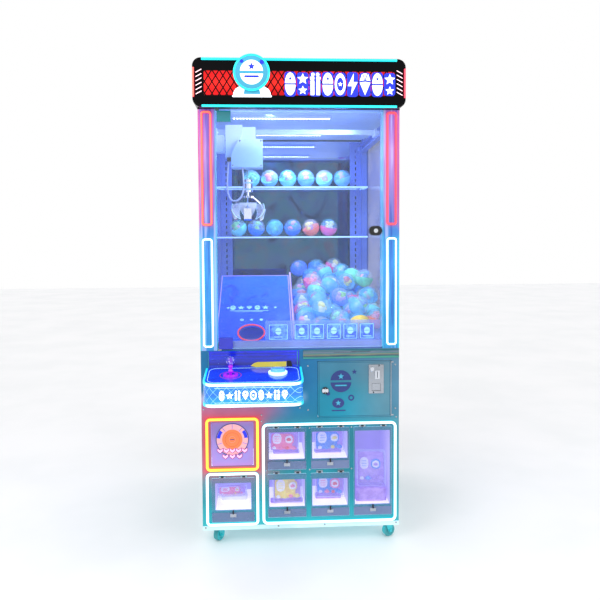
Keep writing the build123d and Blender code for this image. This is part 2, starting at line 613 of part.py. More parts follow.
with BuildPart() as playfield_boards:
    # sloping chute board
    with BuildSketch(Plane.YZ.offset(CH_X0)):
        with BuildLine():
            Polyline((CH_Y0, CH_Z0), (CH_Y1, CH_Z1), (CH_Y1 + 8 * math.sin(SL), CH_Z1 - 8 * nz),
                     (CH_Y0 + 8 * math.sin(SL), CH_Z0 - 8 * nz + 4.6), (CH_Y0, CH_Z0))
        make_face()
    extrude(amount=CH_X1 - CH_X0)
    with BuildSketch(Plane(origin=(HOLE_X, hole_y, hole_z), x_dir=(1, 0, 0), z_dir=(0, ny, nz))):
        Circle(55)
    extrude(amount=20, both=True, mode=Mode.SUBTRACT)
    # red collar of the hole
    with BuildSketch(Plane(origin=(HOLE_X, hole_y, hole_z), x_dir=(1, 0, 0), z_dir=(0, ny, nz)).offset(0.5)):
        Circle(62)
        Circle(55, mode=Mode.SUBTRACT)
    extrude(amount=4.5)
    # side wall under the board edge, with a raised lip
    with BuildSketch(Plane.YZ.offset(CH_X1 + 0.5)):
        with BuildLine():
            Polyline((CH_Y0 + 10, DECK_Z + 0.2), (CH_Y1, DECK_Z + 0.2), (CH_Y1, CH_Z1 + 14), (CH_Y0 + 10, CH_Z0 + 19),
                     (CH_Y0 + 10, DECK_Z + 0.2))
        make_face()
    extrude(amount=8)
    # back wall of the chute box
    slab(CH_X0, CH_X1, CH_Y1 + 4, CH_Y1 + 10, DECK_Z + 0.2, CH_Z1 - 6)
    # low fence along the glass, with six square cards
    slab(-150, 351, F + 48.5, F + 52.5, DECK_Z + 0.2, 970)
    for cx, w in ((-94, 84), (7, 62), (74, 62), (147, 62), (219, 62), (292, 62)):
        slab(cx - w / 2, cx + w / 2, F + 46, F + 48, 887, 955)
save(playfield_boards.part, "playfield_boards")

# ---------------------------------------------------------------------------
# gantry: rails, bridge, trolley, claw
# ---------------------------------------------------------------------------
with BuildPart() as gantry_rails:
    for s in (-1, 1):
        xa, xb = sorted((s * 374, s * 404))
        slab(xa, xb, F + 70, B - 56, GANTRY_Z, GANTRY_Z + 40)
        xc, xd = sorted((s * 373, s * 398))
        slab(xc, xd, F + 60, B - 50, GANTRY_Z + 5, GANTRY_Z + 35, mode=Mode.SUBTRACT)
        # hangers to the roof
        for y in (F + 85, B - 80):
            xe, xf = sorted((s * 400, s * 404))
            slab(xe, xf, y - 12, y + 12, GANTRY_Z + 39, ROOF_Z - 0.2)
        # belt pulley by the rear end
        rod((s * 365, B - 100, GANTRY_Z + 12), "x", 13, 9)
        rod((s * 370, B - 100, GANTRY_Z + 12), "x", 4, 14)
        slab(min(s * 371, s * 377), max(s * 371, s * 377), B - 112, B - 88, GANTRY_Z - 2, GANTRY_Z + 5)
save(gantry_rails.part, "gantry_rails")

with BuildPart() as bridge:
    slab(-366, 366, BRIDGE_Y - 15, BRIDGE_Y + 15, 1804, 1826)
    slab(-367, 367, BRIDGE_Y - 12, BRIDGE_Y + 12, 1807, 1823, mode=Mode.SUBTRACT)
    for s in (-1, 1):
        # end trucks with rollers inside the rails
        slab(s * 366 - 4, s * 366 + 4, BRIDGE_Y - 40, BRIDGE_Y + 40, 1797, 1828)
        for y in (BRIDGE_Y - 28, BRIDGE_Y + 28):
            rod((s * 378, y, 1810), "x", 12, 12)
            rod((s * 368, y, 1810), "x", 3, 24)
    # bridge drive cover
    slab(-369, -331, BRIDGE_Y - 26, BRIDGE_Y + 40, 1722, 1798)
    fillet(bridge.edges().filter_by(Axis.Z).filter_by(lambda e: e.length > 70), 4)
save(bridge.part, "bridge")

with BuildPart() as trolley:
    # folded cover with a slanted left edge
    with BuildSketch(front(TROLLEY_Y - 52)):
        with BuildLine():
            Polyline((-298, 1648), (-155, 1648), (-155, 1775), (-264, 1775), (-298, 1706), (-298, 1648))
        make_face()
    extrude(amount=-104)
    fillet(trolley.edges().filter_by(Axis.Y), 3)
    # lift motor cover behind it, reaching up in front of the beam
    with BuildSketch(front(F + 245)):
        with BuildLine():
            Polyline((-324, 1692), (-289, 1692), (-247, 1802), (-247, 1842), (-324, 1842), (-324, 1692))
        make_face()
    extrude(amount=-26)
    # neck, cheeks and rollers round the bridge beam
    slab(-262, -188, BRIDGE_Y - 24, BRIDGE_Y + 24, 1773, 1796)
    for s in (-1, 1):
        slab(-262, -188, BRIDGE_Y + s * 21 - 3, BRIDGE_Y + s * 21 + 3, 1790, 1836)
    for x in (-250, -200):
        rod((x, BRIDGE_Y, 1832.5), "y", 5.5, 46)
    # hoist wire guide and cable gland
    rod((CLAW_X, CLAW_Y, 1645), "z", 8, 8)
    slab(-317, -297, TROLLEY_Y - 48, TROLLEY_Y - 32, 1675, 1693)
save(trolley.part, "trolley")

# hanging cable from the gland round to the underside of the cover
CABLE_D = 8.0
cy = TROLLEY_Y - 40
CABLE = [(-309, 1674.3), (-316, 1628), (-318, 1573), (-315, 1529), (-302, 1499), (-274, 1495),
         (-250, 1519), (-243, 1556), (-243.5, 1601), (-248, 1647.4)]
pts = [Vector(x, cy, z) for x, z in CABLE]
radii = []
for i in range(1, len(pts) - 1):
    a, b = pts[i] - pts[i - 1], pts[i + 1] - pts[i]
    turn = math.radians(a.get_angle(b))
    radii.append(0.45 * min(a.length, b.length) / math.tan(turn / 2))
print("cable radii", [round(r, 1) for r in radii])
with BuildPart() as claw_cable:
    with BuildLine() as route:
        FilletPolyline(*pts, radius=radii)
    with BuildSketch(Plane(origin=pts[0], z_dir=(pts[1] - pts[0]).normalized())):
        Circle(CABLE_D / 2)
    sweep(path=route.wires()[0])
cable_len = route.wires()[0].length
print("cable length", cable_len, "volume ratio",
      claw_cable.part.volume / (math.pi * CABLE_D ** 2 / 4 * cable_len))
save(claw_cable.part, "claw_cable")

with BuildPart() as hoist_wire:
    rod((CLAW_X, CLAW_Y, 1620.7), "z", 1.2, 40.4)
save(hoist_wire.part, "hoist_wire")

with BuildPart() as claw_housing:
    rod((CLAW_X, CLAW_Y, 1567), "z", 23, 60)
    fillet(claw_housing.edges().filter_by(GeomType.CIRCLE), 3)
    rod((CLAW_X, CLAW_Y, 1598), "z", 9, 5)
    rod((CLAW_X, CLAW_Y, 1529), "z", 8, 24)
    rod((CLAW_X, CLAW_Y, 1517), "z", 14, 9)
    for a in (-90, 30, 150):
        ca, sa = math.cos(math.radians(a)), math.sin(math.radians(a))
        # clevis cheeks carrying each prong pin
        with Locations(Location((CLAW_X + 18 * ca, CLAW_Y + 18 * sa, 1517), (0, 0, a))):
            Box(16, 14, 9)
        with Locations(Location((CLAW_X + 21 * ca, CLAW_Y + 21 * sa, 1517), (0, 0, a))):
            Box(14, 6.6, 12, mode=Mode.SUBTRACT)
        with Locations(Location((CLAW_X + 22 * ca, CLAW_Y + 22 * sa, 1517), (0, 0, a)) * Location((0, 0, 0), (90, 0, 0))):
            Cylinder(1.5, 16)
save(claw_housing.part, "claw_housing")

for n, a in enumerate((-90, 30, 150), start=1):
    ca, sa = math.cos(math.radians(a)), math.sin(math.radians(a))
    pl = Plane(origin=(CLAW_X, CLAW_Y, 0), x_dir=(ca, sa, 0), z_dir=(sa, -ca, 0))
    with BuildPart() as prong:
        with BuildSketch(pl):
            with BuildLine():
                Polyline((19, 1520), (25, 1520), (62, 1495), (83, 1463), (68, 1415), (60, 1411), (60, 1416),
                         (76, 1462), (57, 1490), (25, 1513), (19, 1513), (19, 1520))
            make_face()
        extrude(amount=3, both=True)
        # scoop at the tip
        with BuildSketch(pl):
            with BuildLine():
                Polyline((84.5, 1463), (86.5, 1461), (70, 1414), (54, 1408), (53, 1410), (67, 1416), (84.5, 1463))
            make_face()
        extrude(amount=17, both=True)
        with Locations(Location((CLAW_X + 22 * ca, CLAW_Y + 22 * sa, 1517), (0, 0, a)) * Location((0, 0, 0), (90, 0, 0))):
            Cylinder(1.58, 20, mode=Mode.SUBTRACT)
    save(prong.part, f"claw_prong_{n}")

# ---------------------------------------------------------------------------
# capsules: six on each shelf and a loose pile on the sloping floor
# ---------------------------------------------------------------------------
SHELF_CAPS = [(-219 + 98.5 * i, B - 108, SHELF_Z[1] + 4.3 + CAPSULE_D / 2) for i in range(6)] + \
             [(-291 + 98.0 * i, B - 108, SHELF_Z[0] + 4.3 + CAPSULE_D / 2) for i in range(6)]
PILE_CAPS = [
    (192, -242, 933), (96, -242, 933), (275, -194, 943),
    (36, -169, 948), (191, -148, 953), (357, -146, 953), (108, -130, 997),
    (283, -127, 1011), (36, -75, 967), (168, -57, 971), (357, -52, 972),
    (94, -45, 1038), (262, -40, 975), (207, 2, 1041), (349, 12, 1043),
    (36, 19, 987), (131, 30, 989), (274, 53, 994), (103, 79, 1066),
    (357, 99, 1003), (192, 102, 1004), (36, 113, 1006), (177, 140, 1090),
    (276, 148, 1013), (118, 162, 1016), (91, 191, 1103), (357, 197, 1023),
    (264, 199, 1098), (357, 200, 1119), (202, 208, 1026), (36, 210, 1026),
    (119, 256, 1035), (187, 279, 1100), (262, 281, 1041), (308, 283, 1124),
    (91, 286, 1122), (357, 291, 1043), (36, 303, 1045), (118, 352, 1055),
    (213, 362, 1057), (163, 364, 1139), (260, 364, 1141), (308, 372, 1059),
    (66, 432, 1071), (162, 442, 1073), (36, 451, 1160),
    (257, 451, 1077), (132, 451, 1164), (227, 451, 1168),
]
with BuildPart() as capsules:
    with Locations(*SHELF_CAPS, *PILE_CAPS):
        Sphere(CAPSULE_D / 2)
save(capsules.part, "capsules")
print("capsules", len(capsules.part.solids()))
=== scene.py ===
import math
import random

import bmesh
import bpy
from mathutils import Euler, Matrix, Vector


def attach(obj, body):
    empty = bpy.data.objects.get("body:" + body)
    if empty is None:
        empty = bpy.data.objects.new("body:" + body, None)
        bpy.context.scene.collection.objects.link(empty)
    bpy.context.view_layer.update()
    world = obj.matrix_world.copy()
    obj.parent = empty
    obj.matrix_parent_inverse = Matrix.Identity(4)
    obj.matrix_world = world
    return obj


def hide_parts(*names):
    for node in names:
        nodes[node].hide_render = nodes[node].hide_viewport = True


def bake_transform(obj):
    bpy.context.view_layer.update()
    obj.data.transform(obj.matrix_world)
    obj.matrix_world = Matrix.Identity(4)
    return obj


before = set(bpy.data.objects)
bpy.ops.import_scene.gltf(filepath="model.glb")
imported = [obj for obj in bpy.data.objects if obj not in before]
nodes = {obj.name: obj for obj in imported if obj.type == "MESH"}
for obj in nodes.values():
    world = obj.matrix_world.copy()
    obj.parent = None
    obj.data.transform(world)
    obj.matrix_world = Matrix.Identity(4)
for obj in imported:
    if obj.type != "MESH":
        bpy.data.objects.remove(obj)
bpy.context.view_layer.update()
scene = bpy.context.scene
rng = random.Random(20)

# ---------------------------------------------------------------------------
# sizes shared with part.py, in millimetres; MM turns them into metres
# ---------------------------------------------------------------------------
MM = 0.001
F, B = -347.5, 532.5
LIFT = 11.0                      # height of the trolley group above its nominal layout
SHELF_Z = (1329.0, 1593.0)
CAP_R = 47.3
CH_Y0, CH_Z0, CH_Y1, CH_Z1 = F + 62.0, 875.0, F + 540.0, 1138.0
SL = math.atan2(CH_Z1 - CH_Z0, CH_Y1 - CH_Y0)
LOCKERS = (
    (-62.0, 166.0, 334.0, 514.0, 77.0, 374.0, 495.0),
    (124.0, 166.0, 334.0, 514.0, 77.0, 374.0, 495.0),
    (309.0, 166.0, 126.0, 514.0, 77.0, 167.0, 495.0),
    (-62.0, 166.0, 126.0, 316.0, 77.0, 166.0, 289.0),
    (124.0, 166.0, 126.0, 316.0, 77.0, 166.0, 289.0),
    (-293.5, 183.0, 112.0, 304.0, 77.0, 158.0, 280.0),
)
DESK_REAR, DESK_FRONT = 779.0, 753.0
TILT = math.atan2(DESK_REAR - DESK_FRONT, 195.0)
STICK = (-294.0, F - 95.0)
BUTTON = (-100.0, F - 75.0)
CLAW = (-225.0, F + 275.0)

# ---------------------------------------------------------------------------
# camera
# ---------------------------------------------------------------------------
yaw, pitch, roll = math.radians(3.18), math.radians(2.78), math.radians(-0.318)
fwd = Vector((math.sin(yaw) * math.cos(pitch), math.cos(yaw) * math.cos(pitch), -math.sin(pitch)))
right0 = Vector((math.cos(yaw), -math.sin(yaw), 0.0))
up0 = right0.cross(fwd)
right = right0 * math.cos(roll) + up0 * math.sin(roll)
up = up0 * math.cos(roll) - right0 * math.sin(roll)
cam_data = bpy.data.cameras.new("camera")
cam_data.lens = 39.0
cam_data.sensor_width = 36.0
cam_data.shift_y = -0.055
cam = bpy.data.objects.new("camera", cam_data)
scene.collection.objects.link(cam)
cam.matrix_world = Matrix(((right.x, up.x, -fwd.x, -0.154), (right.y, up.y, -fwd.y, -3.0975),
                           (right.z, up.z, -fwd.z, 1.338), (0, 0, 0, 1)))
scene.camera = cam

# ---------------------------------------------------------------------------
# hanging cable of the trolley
# ---------------------------------------------------------------------------
CABLE = [(-309, 1674.3), (-316, 1628), (-318, 1573), (-315, 1529), (-302, 1499), (-274, 1495),
         (-250, 1519), (-243, 1556), (-243.5, 1601), (-248, 1647.4)]
cable_curve = bpy.data.curves.new("trolley_cable", "CURVE")
cable_curve.dimensions = "3D"
cable_curve.bevel_depth = 0.4
cable_curve.bevel_resolution = 4
cable_curve.resolution_u = 12
cable_curve.use_fill_caps = True
spline = cable_curve.splines.new("NURBS")
spline.points.add(len(CABLE) - 1)
for pt, (x, z) in zip(spline.points, CABLE):
    pt.co = (x * MM, (CLAW[1] - 40) * MM, z * MM, 1.0)
    pt.radius = 0.01
spline.order_u = 3
spline.use_endpoint_u = True
cable = bpy.data.objects.new("trolley_cable", cable_curve)
scene.collection.objects.link(cable)
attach(cable, "trolley")
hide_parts("claw_cable")


# ---------------------------------------------------------------------------
# materials
# ---------------------------------------------------------------------------
def rgb(r, g, b):
    """0-255 screen colour as linear RGBA"""
    out = []
    for c in (r, g, b):
        c /= 255.0
        out.append(c / 12.92 if c <= 0.04045 else ((c + 0.055) / 1.055) ** 2.4)
    return (*out, 1.0)


class Mat:
    """one material: a Principled shader and short calls for the nodes that feed it"""

    def __init__(self, name, base=(0.8, 0.8, 0.8, 1), rough=0.5, metal=0.0, **kw):
        self.m = bpy.data.materials.new(name)
        self.m.use_nodes = True
        self.t = self.m.node_tree
        self.p = self.t.nodes["Principled BSDF"]
        self.put("Base Color", base)
        self.put("Roughness", rough)
        self.put("Metallic", metal)
        for k, v in kw.items():
            self.put({"coat": "Coat Weight", "coat_rough": "Coat Roughness", "alpha": "Alpha", "ior": "IOR",
                      "glow": "Emission Color", "power": "Emission Strength", "spec": "Specular IOR Level",
                      "sss": "Subsurface Weight", "trans": "Transmission Weight", "sheen": "Sheen Weight"}[k], v)
        self._xyz = None

    def node(self, kind, **props):
        n = self.t.nodes.new(kind)
        for k, v in props.items():
            setattr(n, k, v)
        return n

    def feed(self, sock, v):
        if isinstance(v, bpy.types.NodeSocket):
            self.t.links.new(v, sock)
        else:
            sock.default_value = v

    def put(self, name, v):
        self.feed(self.p.inputs[name], v)

    def xyz(self):
        if self._xyz is None:
            tc = self.node("ShaderNodeTexCoord")
            sep = self.node("ShaderNodeSeparateXYZ")
            self.t.links.new(tc.outputs["Object"], sep.inputs[0])
            self._xyz = (sep.outputs[0], sep.outputs[1], sep.outputs[2])
            self.co = tc.outputs["Object"]
        return self._xyz

    def f(self, op, a, b=0.0, c=0.0, clamp=False):
        n = self.node("ShaderNodeMath", operation=op, use_clamp=clamp)
        for s, v in zip(n.inputs, (a, b, c)):
            self.feed(s, v)
        return n.outputs[0]

    def step(self, v, a, b, lo=0.0, hi=1.0):
        n = self.node("ShaderNodeMapRange", interpolation_type="SMOOTHSTEP")
        for s, x in zip(("Value", "From Min", "From Max", "To Min", "To Max"), (v, a, b, lo, hi)):
            self.feed(n.inputs[s], x)
        return n.outputs[0]

    def band(self, v, a, b, soft=0.0004):
        return self.f("MULTIPLY", self.step(v, a - soft, a + soft), self.step(v, b - soft, b + soft, 1.0, 0.0))

    def mix(self, fac, a, b, blend="MIX"):
        n = self.node("ShaderNodeMix", data_type="RGBA", blend_type=blend)
        self.feed(n.inputs[0], fac)
        self.feed(n.inputs[6], a)
        self.feed(n.inputs[7], b)
        return n.outputs[2]

    def ramp(self, fac, stops, interp="LINEAR"):
        n = self.node("ShaderNodeValToRGB")
        n.color_ramp.interpolation = interp
        while len(n.color_ramp.elements) < len(stops):
            n.color_ramp.elements.new(0.5)
        for e, (p, c) in zip(n.color_ramp.elements, stops):
            e.position, e.color = p, c
        self.feed(n.inputs[0], fac)
        return n.outputs[0]

    def noise(self, scale, detail=4.0, rough=0.55, stretch=None, warp=0.0):
        self.xyz()
        n = self.node("ShaderNodeTexNoise")
        n.inputs["Scale"].default_value = scale
        n.inputs["Detail"].default_value = detail
        n.inputs["Roughness"].default_value = rough
        n.inputs["Distortion"].default_value = warp
        vec = self.co
        if stretch:
            mp = self.node("ShaderNodeMapping")
            mp.inputs["Scale"].default_value = stretch
            self.t.links.new(self.co, mp.inputs[0])
            vec = mp.outputs[0]
        self.t.links.new(vec, n.inputs["Vector"])
        return n.outputs[0]

    def cells(self, scale, out="Distance", feature="F1"):
        self.xyz()
        n = self.node("ShaderNodeTexVoronoi", feature=feature)
        n.inputs["Scale"].default_value = scale
        self.t.links.new(self.co, n.inputs["Vector"])
        return n.outputs[out]

    def bump(self, height, strength=0.2, dist=0.001):
        n = self.node("ShaderNodeBump")
        n.inputs["Strength"].default_value = strength
        n.inputs["Distance"].default_value = dist
        self.feed(n.inputs["Height"], height)
        self.t.links.new(n.outputs[0], self.p.inputs["Normal"])

    def finish(self, base, rough=0.4, vary=0.08, grain=220.0, bump=0.08, spread=0.12, patch=5.0, stretch=None):
        """colour with slow patches, fine grain, uneven gloss and a slight surface texture"""
        slow = self.noise(patch, 3.0, 0.6)
        fine = self.noise(grain, 5.0, 0.6, stretch)
        dark = self.mix(1.0, base, (1 - 2.2 * vary,) * 3 + (1.0,), "MULTIPLY")
        lite = self.mix(1.0, base, (1 + 1.2 * vary,) * 3 + (1.0,), "MULTIPLY")
        col = self.mix(self.step(slow, 0.3, 0.7), dark, lite)
        self.put("Base Color", col)
        self.put("Roughness", self.f("ADD", self.f("MULTIPLY", self.noise(patch * 6, 5.0, 0.7), spread), rough - spread / 2))
        self.bump(fine, bump, 0.0006)
        return col

    def lattice(self, u, v, pitch, width):
        """1 on two crossing sets of diagonal lines"""
        a = self.f("PINGPONG", self.f("ADD", u, v), pitch / 2)
        b = self.f("PINGPONG", self.f("SUBTRACT", u, v), pitch / 2)
        d = self.f("MINIMUM", a, b)
        return self.step(d, width * 0.5, width * 0.5 + 0.0006, 1.0, 0.0)

    def off_rect(self, x0, x1, z0, z1):
        """distance from a rectangle's outline in the facing plane, in metres"""
        x, _, z = self.xyz()
        cx, cz, hw, hz = (x0 + x1) / 2 * MM, (z0 + z1) / 2 * MM, (x1 - x0) / 2 * MM, (z1 - z0) / 2 * MM
        dx = self.f("SUBTRACT", self.f("ABSOLUTE", self.f("SUBTRACT", x, cx)), hw)
        dz = self.f("SUBTRACT", self.f("ABSOLUTE", self.f("SUBTRACT", z, cz)), hz)
        ox, oz = self.f("MAXIMUM", dx, 0.0), self.f("MAXIMUM", dz, 0.0)
        out = self.f("SQRT", self.f("ADD", self.f("MULTIPLY", ox, ox), self.f("MULTIPLY", oz, oz)))
        inn = self.f("MINIMUM", self.f("MAXIMUM", dx, dz), 0.0)
        return self.f("ABSOLUTE", self.f("ADD", out, inn))

    def glow_near(self, d, reach):
        """1 on the line, fading over reach"""
        k = self.f("DIVIDE", d, reach)
        return self.f("EXPONENT", self.f("MULTIPLY", k, -1.0))


def plain(name, base, rough=0.4, metal=0.0, **kw):
    opts = {k: kw.pop(k) for k in ("vary", "grain", "bump", "spread", "patch", "stretch") if k in kw}
    g = Mat(name, base, rough, metal, **kw)
    g.finish(base, rough, **opts)
    return g.m


WHITE = rgb(255, 255, 255)

# printed front sheet: blue-teal, with the light of the tubes on it
g = Mat("front_print", rough=0.32, spec=0.3, coat=0.12, coat_rough=0.14, glow=WHITE, power=0.26)
x, y, z = g.xyz()
base = g.ramp(g.step(z, 0.09, 0.86), [(0.0, rgb(40, 168, 176)), (0.06, rgb(4, 132, 142)), (0.5, rgb(8, 112, 126)),
                                     (0.72, rgb(0, 116, 152)), (1.0, rgb(8, 100, 146))])
# painted sheen: the sheet turns paler and greyer towards the upper right
base = g.mix(g.step(g.f("ADD", x, g.f("MULTIPLY", z, 0.5)), 0.35, 0.95, 0.0, 0.75), base, rgb(96, 126, 140))
base = g.mix(g.step(g.noise(3.0, 3.0), 0.35, 0.75, 0.0, 0.3), base, rgb(60, 128, 160))
near = g.glow_near(g.off_rect(-169, 412, 97, 537), 0.012)
base = g.mix(g.f("MULTIPLY", near, 0.2), base, rgb(90, 216, 220))
near2 = g.glow_near(g.off_rect(-409, -183, 96, 328), 0.012)
base = g.mix(g.f("MULTIPLY", near2, 0.2), base, rgb(90, 216, 220))
warm = g.f("MULTIPLY", g.band(z, 0.57, 0.655, 0.035), g.step(x, -0.20, -0.02, 1.0, 0.0))
base = g.mix(g.f("MULTIPLY", warm, 0.6), base, rgb(196, 96, 130))
pd = g.off_rect(-408, -182, 334, 564)
base = g.mix(g.f("MULTIPLY", g.glow_near(pd, 0.034), 0.85), base, rgb(214, 66, 84))
lip = g.f("MULTIPLY", g.band(z, 0.63, 0.662, 0.02), g.step(x, -0.01, 0.04, 1.0, 0.0))
base = g.mix(g.f("MULTIPLY", lip, 0.5), base, rgb(176, 196, 226))
g.put("Emission Color", g.finish(base, 0.3, vary=0.05, grain=400, bump=0.05))
MAT_FRONT = g.m

# mirror-like ledge with rainbow streaks
g = Mat("ledge_foil", rough=0.2, metal=0.75, glow=WHITE, power=0.1)
x, y, z = g.xyz()
s = g.noise(5.0, 4.0, 0.55, (1.0, 1.0, 16.0), 0.8)
rise = g.f("ADD", g.step(z, 0.803, 0.852), g.f("MULTIPLY_ADD", s, 0.5, -0.25))
col = g.ramp(rise, [(0.0, rgb(46, 150, 150)), (0.2, rgb(80, 160, 140)), (0.36, rgb(60, 90, 110)), (0.5, rgb(140, 140, 120)),
                    (0.64, rgb(70, 130, 130)), (0.8, rgb(120, 130, 150)), (1.0, rgb(50, 110, 120))])
g.put("Base Color", col)
g.put("Emission Color", col)
g.bump(s, 0.2, 0.0008)
MAT_LEDGE = g.m

# side sheets: deep blue-teal powder coat with a diagonal print
g = Mat("side_print", rough=0.38, coat=0.25, coat_rough=0.2)
x, y, z = g.xyz()
base = g.ramp(g.step(z, 0.1, 1.86), [(0.0, rgb(20, 130, 145)), (0.45, rgb(18, 92, 150)), (1.0, rgb(70, 70, 165))])
stripe = g.f("PINGPONG", g.f("ADD", g.f("MULTIPLY", y, 1.0), z), 0.16)
base = g.mix(g.step(stripe, 0.100, 0.102, 0.0, 0.35), base, rgb(60, 170, 190))
base = g.mix(g.step(g.f("PINGPONG", g.f("ADD", y, z), 0.16), 0.082, 0.0835, 0.0, 0.0), base, WHITE)
g.finish(base, 0.38, vary=0.06, grain=500, bump=0.16)
MAT_SIDE = g.m

MAT_REAR = plain("rear_coat", rgb(46, 58, 84), 0.45, vary=0.08, grain=600, bump=0.25)
MAT_TRAY = plain("tray_coat", rgb(205, 232, 236), 0.3, 0.35, coat=0.4, vary=0.07, grain=500, bump=0.1, glow=rgb(190, 240, 245), power=0.25)
MAT_DECK = plain("deck_laminate", rgb(120, 140, 215), 0.35, vary=0.1, grain=160, bump=0.12)
MAT_INTERNAL = plain("plain_grey", rgb(110, 114, 120), 0.5, 0.4, vary=0.1)
MAT_DOOR_STEEL = plain("service_coat", rgb(60, 74, 104), 0.42, 0.1, vary=0.08, grain=600, bump=0.25)
MAT_BLACK = plain("black_plastic", rgb(18, 19, 24), 0.35, vary=0.2, grain=700, bump=0.15)
MAT_STEEL = plain("brushed_steel", rgb(178, 184, 192), 0.26, 1.0, vary=0.08, grain=90, bump=0.12, stretch=(1, 1, 40))
MAT_CHROME = plain("bright_chrome", rgb(225, 230, 238), 0.07, 1.0, vary=0.04, grain=60, bump=0.04, spread=0.05)
MAT_TEALCOAT = plain("teal_coat", rgb(40, 190, 200), 0.28, 0.2, coat=0.6, vary=0.08, grain=450, bump=0.1, glow=rgb(30, 190, 200), power=0.12)
MAT_TREAD = plain("wheel_rubber", rgb(70, 170, 178), 0.6, vary=0.12, grain=300, bump=0.3)
MAT_POST = plain("upright_coat", rgb(92, 120, 206), 0.34, spec=0.3, coat=0.1, vary=0.06, grain=500, bump=0.08, glow=rgb(84, 112, 214), power=0.2)
g = Mat("cover_coat", rough=0.32, spec=0.3, coat=0.15, coat_rough=0.1, glow=WHITE, power=0.5)
x, y, z = g.xyz()
# painted light: the cover turns paler towards the top, nearer the ceiling lights
base = g.ramp(g.step(z, 1.655, 1.83), [(0.0, rgb(112, 150, 210)), (0.4, rgb(132, 170, 222)), (0.75, rgb(170, 198, 236)), (1.0, rgb(186, 212, 240))])
g.put("Emission Color", g.finish(base, 0.32, vary=0.06, grain=400, bump=0.08))
MAT_COVER = g.m
MAT_BEAM = plain("beam_coat", rgb(130, 156, 210), 0.32, spec=0.3, coat=0.1, vary=0.08, grain=400, bump=0.08, glow=rgb(170, 196, 240), power=0.42)
MAT_SLOTDARK = plain("cable_sheath", rgb(150, 168, 214), 0.4, vary=0.05, grain=300, bump=0.15, glow=rgb(130, 155, 215), power=0.1)

# inside of the lockers: upward faces painted near white as light from above, walls painted darker towards the back as
# painted shade, and a painted glow over the whole liner
g = Mat("liner_coat", rough=0.45, glow=WHITE, power=0.62)
x, y, z = g.xyz()
nrm = g.node("ShaderNodeNewGeometry").outputs["Normal"]
sep = g.node("ShaderNodeSeparateXYZ")
g.feed(sep.inputs[0], nrm)
# painted light: faces that look up turn near white, as if lit from above
lit_floor_mask = g.step(sep.outputs[2], 0.3, 0.8)
# painted shade: walls darker towards the back of the locker
wall_depth_shade = g.mix(g.step(y, F * MM, (F + 240) * MM), rgb(176, 170, 214), rgb(150, 146, 204))
base = g.mix(lit_floor_mask, wall_depth_shade, rgb(250, 250, 255))
g.put("Emission Color", g.finish(base, 0.45, vary=0.03, grain=500, bump=0.06))
MAT_LINER = g.m
MAT_LINER_BACK = plain("liner_outside", rgb(150, 154, 170), 0.5, 0.2, vary=0.08)

# coin door: teal print with a thin pale outline
g = Mat("coin_door_print", rough=0.32, spec=0.3, coat=0.12, coat_rough=0.15, glow=WHITE, power=0.24)
x, y, z = g.xyz()
base = g.ramp(g.step(z, 0.55, 0.8), [(0.0, rgb(8, 132, 158)), (0.5, rgb(18, 124, 148)), (1.0, rgb(60, 112, 136))])
# painted sheen: the door turns greyer towards the right, as on the front sheet
base = g.mix(g.step(x, 0.16, 0.39, 0.0, 0.7), base, rgb(98, 128, 142))
base = g.mix(g.step(g.noise(4.0, 3.0), 0.4, 0.7, 0.0, 0.25), base, rgb(40, 140, 170))
edge = g.off_rect(78, 384, 561, 793)
base = g.mix(g.step(edge, 0.0006, 0.0014, 1.0, 0.0), base, rgb(20, 84, 112))
g.put("Emission Color", g.finish(base, 0.3, vary=0.05, grain=400, bump=0.05))
MAT_COIN = g.m

MAT_NAVY = plain("emblem_navy", rgb(12, 48, 128), 0.3, coat=0.4, vary=0.08)
MAT_EMBLEM_SKY = plain("emblem_sky", rgb(60, 170, 205), 0.3, coat=0.4, vary=0.06, glow=rgb(50, 160, 200), power=0.15)

# prize flap: violet sheet
g = Mat("prize_violet", rough=0.36, spec=0.3, coat=0.1, coat_rough=0.15, glow=WHITE, power=0.3)
x, y, z = g.xyz()
base = g.ramp(g.step(z, 0.352, 0.545), [(0.0, rgb(150, 134, 204)), (0.6, rgb(136, 128, 196)), (1.0, rgb(120, 112, 170))])
# painted glow of the red tube: pink along the door's outline, fading inwards
base = g.mix(g.f("MULTIPLY", g.glow_near(g.off_rect(-397, -193, 345, 553), 0.014), 0.55), base, rgb(214, 120, 190))
g.put("Emission Color", g.finish(base, 0.22, vary=0.05, grain=300, bump=0.04))
MAT_PRIZE = g.m
MAT_ORANGE = plain("ring_orange", rgb(240, 120, 62), 0.3, coat=0.5, vary=0.06, glow=rgb(240, 110, 50), power=0.25)
MAT_PEACH = plain("ring_peach", rgb(236, 168, 170), 0.3, coat=0.5, vary=0.06, glow=rgb(236, 160, 170), power=0.25)
MAT_RIM = plain("ring_line", rgb(190, 80, 40), 0.3, vary=0.06)
MAT_PINKICON = plain("icon_pink", rgb(250, 190, 226), 0.3, coat=0.5, vary=0.05, glow=rgb(250, 180, 226), power=0.3)
MAT_MAGENTA = plain("icon_magenta", rgb(172, 40, 140), 0.3, coat=0.5, vary=0.08, glow=rgb(172, 40, 140), power=0.12)


# clear sheets
def clear(name, tint, alpha, rough=0.04, power=0.0):
    g = Mat(name, tint, rough, coat=0.6, coat_rough=0.03, glow=tint, power=power)
    g.put("Alpha", g.step(g.noise(3.0, 4.0, 0.6), 0.3, 0.7, alpha * 0.75, alpha * 1.25))
    g.put("Roughness", g.f("MULTIPLY_ADD", g.noise(40.0, 5.0, 0.7), rough * 1.2, rough * 0.4))
    g.bump(g.noise(14.0, 2.0), 0.02, 0.0005)
    return g.m


